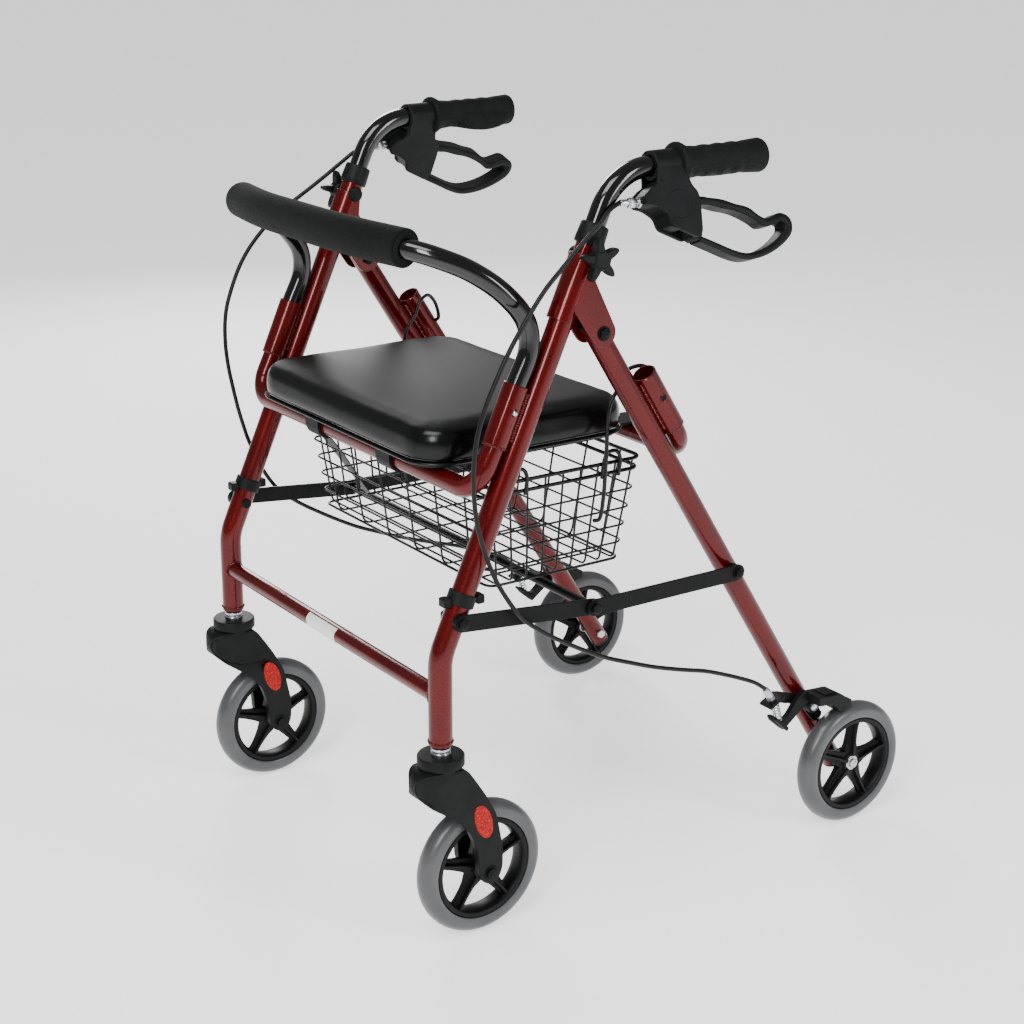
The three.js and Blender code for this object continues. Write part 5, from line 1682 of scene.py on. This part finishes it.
for side, s in SIDES:
    flip = s < 0

    def bracket(bm):
        slab_from(bm,
                  softened([(143, 174), (150, 184.5), (176, 175), (200, 172), (214, 160), (226, 138),
                            (216, 128), (203, 142), (190, 160), (165, 165)], 5, 4), BRACKET_X, 3)
        slab_from(bm, softened([(127.5, 174.5), (129.5, 171), (150.5, 181.5), (148.5, 185)], 1, 2),
                  BRACKET_X + 8.2, 19.5)
        turn_profile(bm,
                     [(BRACKET_X + 1.4, 6.5), (BRACKET_X + 2.6, 6.5), (BRACKET_X + 4.6, 5.0),
                      (BRACKET_X + 5.2, 0)], at(0, 190, 166), sides=24)
        turn_profile(bm, [(BRACKET_X + 1.4, 5.5), (BRACKET_X + 3.6, 5.5), (BRACKET_X + 4.2, 4.6)],
                     at(0, 219, 139), sides=6)
    finish_piece(f"brake_bracket_plate_{side}", mesh_from(bracket, flip), STRIP_STEEL, "rear_frame",
                 [f"brake_bracket_{side}"], bevel=0.6)

    def arm(bm):
        outline = [(141, 159), (138, 153), (158, 135.5), (163, 139), (186, 156), (197, 162), (197, 175),
                   (190, 178.5), (179, 171), (166, 154), (157, 147)]
        slab_from(bm, softened(outline, 4, 4), BRACKET_X + 6, 8)
        slab_from(bm, softened([(138.5, 155), (140.5, 158), (160.5, 141), (158, 136.5)], 1.5, 2),
                  BRACKET_X + 8.4, 17)
        turn_profile(bm, [(BRACKET_X + 1.6, 8.6), (BRACKET_X + 12, 8.6)], at(0, *BRAKE_PIVOT), sides=32)
    finish_piece(f"brake_arm_bar_{side}", mesh_from(arm, flip), NYLON, f"brake_{side}",
                 [f"brake_arm_{side}"], bevel=0.9)

    def shoe(bm):
        rim_points = []
        for k in range(6):
            angle = math.radians(20 - 12 * k / 5)
            rim_points.append((REAR_AXLE[0] - 77.6 * math.sin(angle), REAR_AXLE[1] + 77.6 * math.cos(angle)))
        outline = [(193, 165), (212, 163), (220, 158)] + rim_points + [(244.5, 162), (224, 173),
                                                                       (193, 175.5)]
        slab_from(bm, outline, REAR_WHEEL_X - 4, 29.5)
        slab_from(bm,
                  softened([(205, 173.6), (222, 172.2), (236, 166), (236, 167.5), (223, 175.2),
                            (205, 176)], 1, 2), REAR_WHEEL_X - 4, 20)
    finish_piece(f"brake_shoe_{side}", mesh_from(shoe, flip), NYLON, f"brake_{side}",
                 bevel=1.2, segments=4)

    def pivot_pin(bm):
        turn_profile(bm,
                     [(BRACKET_X + 12, 5.8), (BRACKET_X + 14, 5.4), (BRACKET_X + 15, 3.8),
                      (BRACKET_X + 15.2, 0)], at(0, *BRAKE_PIVOT), sides=28)
    finish_piece(f"brake_pin_{side}", mesh_from(pivot_pin, flip), ZINC, f"brake_{side}")

    def sleeve_adjuster(bm):
        x = BRACKET_X + 9
        base = at(x, *TAB)
        axis = Vector((0, -11.5, 17)).normalized()
        turn_profile(bm, [(-6, 2.9), (-5, 3.1), (2, 3.1)], base, axis=axis, sides=24)
        turn_profile(bm, [(2, 5.4), (5.6, 5.4)], base, axis=axis, sides=6)
        turn_profile(bm, [(5.6, 3.1), (8.0, 3.1)], base, axis=axis, sides=24)
        turn_profile(bm, [(8.0, 4.4), (17.5, 4.4), (19.0, 3.9), (21.4, 3.4)], base, axis=axis, sides=60,
                     scale=lambda turn, _: 1 + 0.05 * math.cos(10 * turn))
        # The bare wire from the adjuster to the arm.
        between(bm, base, at(x, ARM_END[0], ARM_END[1] - 4), 0.9, 8)
    finish_piece(f"sleeve_adjuster_{side}", mesh_from(sleeve_adjuster, flip), ZINC, "rear_frame",
                 bevel=0.2, segments=2)

    def arm_spring(bm):
        x = BRACKET_X + 9
        low, high = at(x, ARM_END[0], ARM_END[1] + 3), at(x, TAB[0] + 3.5, TAB[1] - 4)
        axis = high - low
        turns, steps = 6, 16
        side_way = Vector((1, 0, 0))
        other = axis.normalized().cross(side_way)
        line = []
        for k in range(turns * steps + 1):
            turn = 2 * math.pi * k / steps
            line.append(low + axis * (k / (turns * steps))
                        + (side_way * math.cos(turn) + other * math.sin(turn)) * 4.4 * MM)
        along(line, 0.75, bm, sides=8)
    finish_piece(f"return_spring_{side}", mesh_from(arm_spring, flip), ZINC, "rear_frame",
                 sharp=60)

# %% [markdown]
# ## Cables and strap
# A black sleeve carries the brake wire from the handle, in front of the front leg, through its clip and
# back to the brake. The real sleeve bends freely; here it is one fixed sweep along a listed route, not
# tied to the pieces at its ends. A webbing strap on one side stops the cross rod when the walker is open.

# %% Brake cables
CABLE_R = 2.5
UPPER = [(247.2, -93.2, 776.2), (250, -108, 770), (253, -122, 758), (253, -139, 744), (253.5, -154, 731),
         (255, -171, 717), (258, -192, 700), (262, -218, 672), (263, -236, 648), (263, -252, 620),
         (262, -266, 590), (260, -274, 560), (259, -277, 530), (258, -276, 500), (258, -272, 470),
         (259, -264, 440)]
LOWER = [(259.2, -262.6, 436), (260.5, -252, 410), (262.5, -240, 388), (264, -222, 363), (264.5, -197, 342),
         (264, -164, 321), (263, -113, 293), (262, -75, 277), (261, -42, 264), (259, 0, 250), (257, 36, 239),
         (256, 64, 228), (256.5, 90, 217), (258, 111, 207), (259, 125, 197)]

for side, s in SIDES:
    upper, lower = UPPER, LOWER
    if s < 0:
        # The far cable has more slack and bows further out.
        bow = [math.sin(math.pi * i / 15) ** 2 for i in range(16)]
        upper = [(x + 17 * b, y - 14 * b, z) for (x, y, z), b in zip(UPPER, bow)]
    for part, route, ends in (("upper", upper, (f"handle_{side}", "front_frame")),
                              ("lower", lower, ("front_frame", "rear_frame"))):
        line = flowing([at(s * x, y, z) for x, y, z in route], 6)
        # One point more on the upper length closes the gap to the lower one.
        if part == "upper":
            line.append(at(s * LOWER[0][0], LOWER[0][1], LOWER[0][2]))
        cable = finish_piece(f"brake_cable_{part}_{side}",
                             mesh_from(lambda bm: along(line, CABLE_R, bm, sides=14)), CABLE, None,
                             [f"cable_{part}_{side}"], sharp=60)
        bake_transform(cable)

# %% Limit strap
STRAP = [(-246.4, 493), (-228, 484), (-198, 455), (-168, 416), (-142, 378), (-126.5, 355.5)]
STRAP_X = -205.0
strap_line = flowing([at(STRAP_X, y, z) for y, z in STRAP], 8)


def strap(bm):
    line = strap_line
    rings = []
    for i, point in enumerate(line):
        heading = (line[min(i + 1, len(line) - 1)] - line[max(i - 1, 0)]).normalized()
        normal = heading.cross(Vector((1, 0, 0)))
        twist = 2.0 * math.sin(i * 0.22)
        ring = []
        for a, b in ((-11, -0.7), (-5, -0.9), (5, -0.9), (11, -0.7), (11, 0.7), (5, 0.9), (-5, 0.9),
                     (-11, 0.7)):
            ring.append(bm.verts.new(point + Vector((a, 0, 0)) * MM + normal * (b + twist * a / 22) * MM))
        rings.append(ring)
    for low, high in zip(rings, rings[1:]):
        for i in range(8):
            n = (i + 1) % 8
            bm.faces.new((low[i], low[n], high[n], high[i]))
    bm.faces.new(rings[0][::-1])
    bm.faces.new(rings[-1])


limit_strap = finish_piece("limit_strap_webbing", mesh_from(strap), WEBBING, None,
                           ["limit_strap"], sharp=60)
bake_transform(limit_strap)


def strap_end(bm):
    turn_profile(bm, [(-1.2, 0), (-1.2, 5.5), (0, 6.0), (1.2, 5.2), (2.0, 0)], at(STRAP_X, -232, 487),
                 axis=(0, 0.4, 0.9), sides=24)


finish_piece("strap_rivet", mesh_from(strap_end), ZINC, "front_frame")

# %% Piece count
print("pieces:", len(made))
